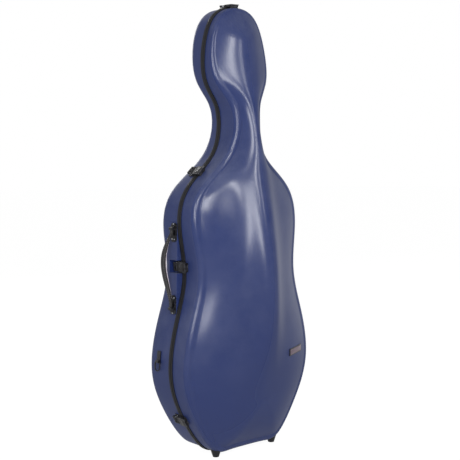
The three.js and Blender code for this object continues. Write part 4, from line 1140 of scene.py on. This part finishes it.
# Sections as y, n and radius, in shares of half the width and of the thickness
STRAP_SECTION = [
    [1, 0, 0.14], [1, 1.06, 0.16], [0.78, 1.06, 0.06], [0.7, 0.94, 0.05], [-0.7, 0.94, 0.05],
    [-0.78, 1.06, 0.06], [-1, 1.06, 0.16], [-1, 0, 0.14],
]
PAD_SECTION = [
    [1, 0.92, 0.08], [-1, 0.92, 0.08], [-0.96, 0.28, 0.2], [-0.5, 0, 0.3], [0.5, 0, 0.3],
    [0.96, 0.28, 0.2],
]


def strap_rise(share):
    """Rise of the strap's middle over the pins: a sine of the share to a power, leaning towards
    one end."""
    return STRAP_RISE * np.sin(math.pi * share**STRAP_LEAN)


def strap_half(share):
    """Half width of the strap, which widens from both ends by the soft step 3s^2 - 2s^3."""
    s = np.clip(np.minimum(share, 1 - share) / STRAP_TAPER, 0, 1)
    return lerp(STRAP_NARROW, STRAP_WIDE, s * s * (3 - 2 * s))


def bowed(share, half, low, high, section):
    """Rings of a section between low and high along the strap."""
    y, n = section.T
    return np.stack([share * STRAP_LENGTH + 0 * y, half * y, low + (high - low) * n], axis=-1)


class CASE_OT_handle(Undoable, bpy.types.Operator):
    """Add the side handle: its land, its riveted anchors, the stitched strap and the pale pad"""

    bl_idname = "cello_case.handle"
    bl_label = "Handle"

    def execute(self, context):
        look, local = context.scene.cello_case, joint_frame("handle_swing")
        bevelled("handle_land", "moulding", "Satin lacquer", "back", LAND_BEVEL)
        for place in ("lower", "upper"):
            bevelled("handle_anchor_" + place, "moulding", "Nylon", "back", look.broken_edge)
        self.strap(local)
        self.stitches(local, look.stitch)
        self.pad(local)
        rivets = []
        for inside, across in ANCHOR_RIVETS:
            rivets += seats(local, (inside, STRAP_LENGTH - inside), across, ANCHOR_TOP)
        add_rivets("handle_anchor_rivets", rivets, radius=0.0022, height=0.001, body="back")
        return {"FINISHED"}

    def strap(self, local):
        """Strap with a raised round edge along both sides, and its two end barrels."""
        share = np.linspace(0, 1, 90)[:, None]
        rise = strap_rise(share)
        section = rounded(STRAP_SECTION, 5)
        bow = bowed(
            share, strap_half(share), rise - STRAP_THICKNESS / 2, rise + STRAP_TOP, section)
        angle = np.linspace(0, math.pi / 2, 4)
        edge = BARREL_EDGE * np.column_stack([np.sin(angle) - 1, 1 - np.cos(angle)])
        edge += [BARREL_RADIUS, 0]
        barrel = np.concatenate([
            edge, [[BARREL_RADIUS, BARREL_SHOULDER]], edge[::-1] * [1, -1] + [0, BARREL_LENGTH],
            [[BARREL_BORE, BARREL_LENGTH], [BARREL_BORE, 0]]])
        tube = grid(turned(barrel, 24), loop=True)
        ends = (facing(shifted(local, -BARREL_OUT), 1),
                facing(shifted(local, STRAP_LENGTH + BARREL_OUT), -1))
        shape = together(scatter(loft(bow), [local]), scatter(tube, ends))
        add_piece("handle_strap_leather", shape, "Leather", "handle", ("handle_strap",),
                  sharp=40)

    def stitches(self, local, stitch):
        """One row of stitches along each edge of the strap, in the groove."""
        count = int(STRAP_LENGTH * STITCHED / (stitch * STITCH_PITCH))
        share = np.linspace(STITCH_START, 1 - STITCH_START, count)
        half = strap_half(share) * STITCH_LINE
        rise = strap_rise(share) + STRAP_TOP
        near = 0.005
        slope = (strap_rise(share + near) - strap_rise(share - near)) / (2 * near * STRAP_LENGTH)
        t = unit(np.column_stack([np.ones(count), np.zeros(count), slope]))
        frames = np.concatenate([
            local @ frames_at(
                np.column_stack([share * STRAP_LENGTH, side * half, rise]), t, ACROSS,
                np.cross(t, ACROSS))
            for side in (-1, 1)
        ])
        add_piece("handle_stitches", scatter(stitch_shape(stitch), frames), "Thread", "handle")

    def pad(self, local):
        """Soft pad under the strap with a piping along both edges: crowned below, its thickness a
        sine of the way along."""
        along = np.linspace(0, 1, 70)[:, None]
        share = lerp(PAD_START, 1 - PAD_START, along)
        high = strap_rise(share) - STRAP_THICKNESS / 2 - GAP
        swell = np.sin(math.pi * along)
        half = lerp(STRAP_NARROW, PAD_WIDE, np.sqrt(swell))
        low = high - lerp(PAD_THIN, PAD_THICK, swell)
        section = rounded(PAD_SECTION, 5)
        section[:, 1] += 0.08 * (section[:, 1] > 0.9)  # its top lies flat under the strap
        shape = scatter(loft(bowed(share, half, low, high, section)), [local])
        pad = add_piece("handle_pad_cloth", shape, "Pad cloth", "handle", ("handle_pad",),
                        sharp=60)
        angle = circle(6)
        edges = [
            loft(np.stack([
                share * STRAP_LENGTH + 0 * angle,
                side * half + PAD_PIPING * np.cos(angle) * np.sqrt(swell + 0.02),
                high - 1.2 * PAD_PIPING + PAD_PIPING * np.sin(angle)], axis=-1))
            for side in (-1, 1)
        ]
        add_piece("handle_pad_piping", scatter(together(*edges), [local]), "Leather", "handle")


class CASE_OT_strap_rings(Undoable, bpy.types.Operator):
    """Add the four strap rings and their riveted brackets"""

    bl_idname = "cello_case.strap_rings"
    bl_label = "Strap rings"

    def execute(self, context):
        width = context.scene.cello_case.broken_edge
        for place in ("lower_left", "lower_right", "upper_left", "upper_right"):
            bevelled("ring_bracket_" + place, "plate", "Blackened steel", "back", width)
            node = "strap_ring_" + place
            ring = add_piece(node + "_wire", merged_node(node), "Nylon", "ring_" + place,
                             (node,), sharp=180)
            subdivide(ring, 2)
        return {"FINISHED"}


POST_BEVEL = 0.001


class CASE_OT_bow_holders(Undoable, bpy.types.Operator):
    """Add the posts and turning buttons that hold the bows in the lid"""

    bl_idname = "cello_case.bow_holders"
    bl_label = "Bow holders"

    def execute(self, context):
        width = context.scene.cello_case.broken_edge
        for side in ("left", "right"):
            piece = bevelled("bow_clip_post_" + side, "velvet", "Velvet", "lid", POST_BEVEL)
            button = "bow_clip_button_" + side
            bevelled(button, "moulding", "Nylon", "bow_button_" + side, width)
        return {"FINISHED"}


def face_frame(x, height):
    """Frame on the lid's face at a place in plan, by the plane that fits the points near it: t
    sideways, y upwards in the face and n outwards."""
    rings = shell_points(SHELLS["lid"], 0, outline(400), q=np.linspace(1, 0, 120))
    points = rings.reshape(-1, 3)
    plan = points[:, [0, 2]] - [x, height + FOOT_HEIGHT]
    near = np.argsort((plan**2).sum(1))[:12]
    fit = np.column_stack([np.ones(len(near)), plan[near]])
    depth, slope_x, slope_z = np.linalg.lstsq(fit, points[near, 1], rcond=None)[0]
    normal = unit(np.array([slope_x, -1.0, slope_z]))
    upwards = unit(np.cross(normal, np.cross(UP, normal)))
    origin = np.array([x, depth, height + FOOT_HEIGHT]) + SHIFT
    return frame_at(origin, np.cross(upwards, normal), upwards, normal)


# Name plate: its place on the lid, and its parts' finishes and the sizes that slab takes
PLATE_PLACE = (0.147, 0.293)
PLATES = {
    "name_plate_trim": ("Plate trim", (0.0445, 0.0112, 0.003, -0.0022, 0.0008, 0.0005)),
    "name_plate": ("Plate", (0.0405, 0.008, 0.0024, -0.001, 0.0013, 0.0003)),
}


class CASE_OT_name_plate(Undoable, bpy.types.Operator):
    """Add the small blank plate low on the lid"""

    bl_idname = "cello_case.name_plate"
    bl_label = "Name plate"

    def execute(self, context):
        local = face_frame(*PLATE_PLACE)
        for name, (material, sizes) in PLATES.items():
            add_piece(name, scatter(slab(*sizes), [local]), material, "lid")
        return {"FINISHED"}


# Camera, as fitted to the view: degrees to the left of the lid's middle, down and rolled, metres,
# and pixels of the image
VIEW = {
    "turn": 40.06, "down": 6.5, "roll": 0.66, "distance": 3.3, "height": 1.03, "focal": 1080,
    "middle": (233.8, 235.6), "image": 460,
}
SENSOR = 36


def add_camera():
    """Camera at the fitted place: ahead is horizontal, forwards is ahead tipped down, and the
    picture's axes are then rolled."""
    turn, down, roll = (math.radians(VIEW[key]) for key in ("turn", "down", "roll"))
    ahead = np.array([math.sin(turn), math.cos(turn), 0.0])
    forwards = ahead * math.cos(down) - UP * math.sin(down)
    level = np.cross(ahead, UP)
    below = np.cross(forwards, level)
    right = level * math.cos(roll) + below * math.sin(roll)
    below = below * math.cos(roll) - level * math.sin(roll)
    place = UP * (VIEW["height"] + FOOT_HEIGHT) - ahead * VIEW["distance"] + SHIFT
    camera = new_object("Camera", bpy.data.cameras.new("Camera"))
    camera.matrix_world = Matrix(frame_at(place, right, -below, -forwards).tolist())
    image, (x, y) = VIEW["image"], VIEW["middle"]
    lens = camera.data
    lens.sensor_width = SENSOR
    lens.lens = VIEW["focal"] / image * SENSOR
    lens.shift_x = (image / 2 - x) / image
    lens.shift_y = (y - image / 2) / image
    bpy.context.scene.camera = camera


# Soft boxes: place, size and watts; each looks at the middle of the case
CASE_MIDDLE = 0.7
LAMPS = {
    "Key strip": ((-1.96, -3.02, 1.3), (0.3, 1.0), 26),
    "High strip": ((-1.41, -3.31, 2.35), (0.3, 1.3), 40),
    "Left box": ((-2.88, -2.16, 1.75), (0.8, 1.5), 66),
    "Front box": ((-0.4, -3.58, 2.1), (0.45, 1.2), 16),
    "Right box": ((3.38, 0.42, 0.4), (0.3, 0.8), 14),
    "Back strip": ((0.9, 3.3, 1.6), (0.6, 2.2), 60),
}
FLOOR_RADIUS, FLOOR_TOP, FLOOR_BOTTOM = 12.0, -0.0002, -0.002
WHITE = (1, 1, 1, 1)


def add_lamp(name, place, size, power):
    """Area lamp that looks at the middle of the case."""
    lamp = new_object(name, bpy.data.lights.new(name, "AREA"))
    lamp.data.shape = "RECTANGLE"
    lamp.data.size, lamp.data.size_y = size
    lamp.data.energy = power
    away = unit(place - CASE_MIDDLE * UP)
    side = unit(np.cross(UP, away))
    lamp.matrix_world = Matrix(frame_at(place, side, np.cross(away, side), away).tolist())


def white_in_view(tree, plain, output, kind, share, strength):
    """Mixes a plain shader with a white one for what the camera sees, itself or in a reflection,
    by a share; the light that falls comes from the plain one."""
    path = add_node(tree, "ShaderNodeLightPath").outputs
    mirrored = combine(tree, "MAXIMUM", path["Is Glossy Ray"], path["Is Transmission Ray"])
    seen = combine(tree, "MAXIMUM", path["Is Camera Ray"], mirrored)
    white = add_node(tree, kind, {"Color": WHITE, "Strength": strength}).outputs[0]
    mix = add_node(tree, "ShaderNodeMixShader", {
        0: times(tree, seen, share), 1: plain.outputs[0], 2: white}).outputs[0]
    tree.links.new(mix, tree.nodes[output].inputs["Surface"])


class CASE_OT_stage(Undoable, bpy.types.Operator):
    """Add the pale floor, the soft studio light and the camera"""

    bl_idname = "cello_case.stage"
    bl_label = "Stage"

    def execute(self, context):
        scene = context.scene
        scene.view_settings.view_transform = "Standard"
        add_camera()
        for name, (place, size, power) in LAMPS.items():
            add_lamp(name, place, size, power * scene.cello_case.lamp_power)
        self.floor()
        self.world(scene)
        return {"FINISHED"}

    def floor(self):
        """Wide pale disc that keeps a faint shadow and otherwise runs into the white behind it."""
        disc = turned(
            [[FLOOR_RADIUS, FLOOR_BOTTOM], [FLOOR_RADIUS, FLOOR_TOP], [0.001, FLOOR_TOP]], 64)
        floor = new_object("floor", mesh_of("floor", loft(disc)))
        material, tree, shader = new_material("Floor")
        shader.inputs["Base Color"].default_value = (0.9, 0.9, 0.9, 1)
        shader.inputs["Roughness"].default_value = 0.9
        white_in_view(
            tree, shader, "Material Output", "ShaderNodeEmission", share=0.9, strength=1.07)
        floor.data.materials.append(material)

    def world(self, scene):
        """White behind everything, and a plain soft light from all round."""
        scene.world = bpy.data.worlds.new("Studio")
        scene.world.use_nodes = True
        tree = scene.world.node_tree
        ground = tree.nodes["Background"]
        ground.inputs["Color"].default_value = WHITE
        ground.inputs["Strength"].default_value = 0.3
        white_in_view(
            tree, ground, "World Output", "ShaderNodeBackground", share=1.0, strength=1.0)


# Panel and registration

PIECE_OPERATORS = (
    CASE_OT_shells, CASE_OT_seam, CASE_OT_linings, CASE_OT_foam, CASE_OT_neck_strap, CASE_OT_feet,
    CASE_OT_latches, CASE_OT_hinges, CASE_OT_handle, CASE_OT_strap_rings, CASE_OT_bow_holders,
    CASE_OT_name_plate, CASE_OT_stage,
)


class CASE_PT_panel(bpy.types.Panel):
    """Lists the case's settings and what can be added"""

    bl_label = "Cello hard case"
    bl_idname = "CASE_PT_panel"
    bl_space_type = "VIEW_3D"
    bl_region_type = "UI"
    bl_category = "Case"

    def draw(self, context):
        for name in CelloCaseSettings.__annotations__:
            self.layout.prop(context.scene.cello_case, name)
        for operator in PIECE_OPERATORS:
            self.layout.operator(operator.bl_idname)


CLASSES = (CelloCaseSettings, *PIECE_OPERATORS, CASE_PT_panel)


def register():
    """Registers the classes and the scene's settings."""
    for kind in CLASSES:
        bpy.utils.register_class(kind)
    bpy.types.Scene.cello_case = PointerProperty(type=CelloCaseSettings)


def unregister():
    """Takes the settings and the classes away again."""
    del bpy.types.Scene.cello_case
    for kind in reversed(CLASSES):
        bpy.utils.unregister_class(kind)


def main():
    """Registers the add-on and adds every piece."""
    register()
    for operator in PIECE_OPERATORS:
        group, name = operator.bl_idname.split(".")
        getattr(getattr(bpy.ops, group), name)()


if __name__ == "__main__":
    main()
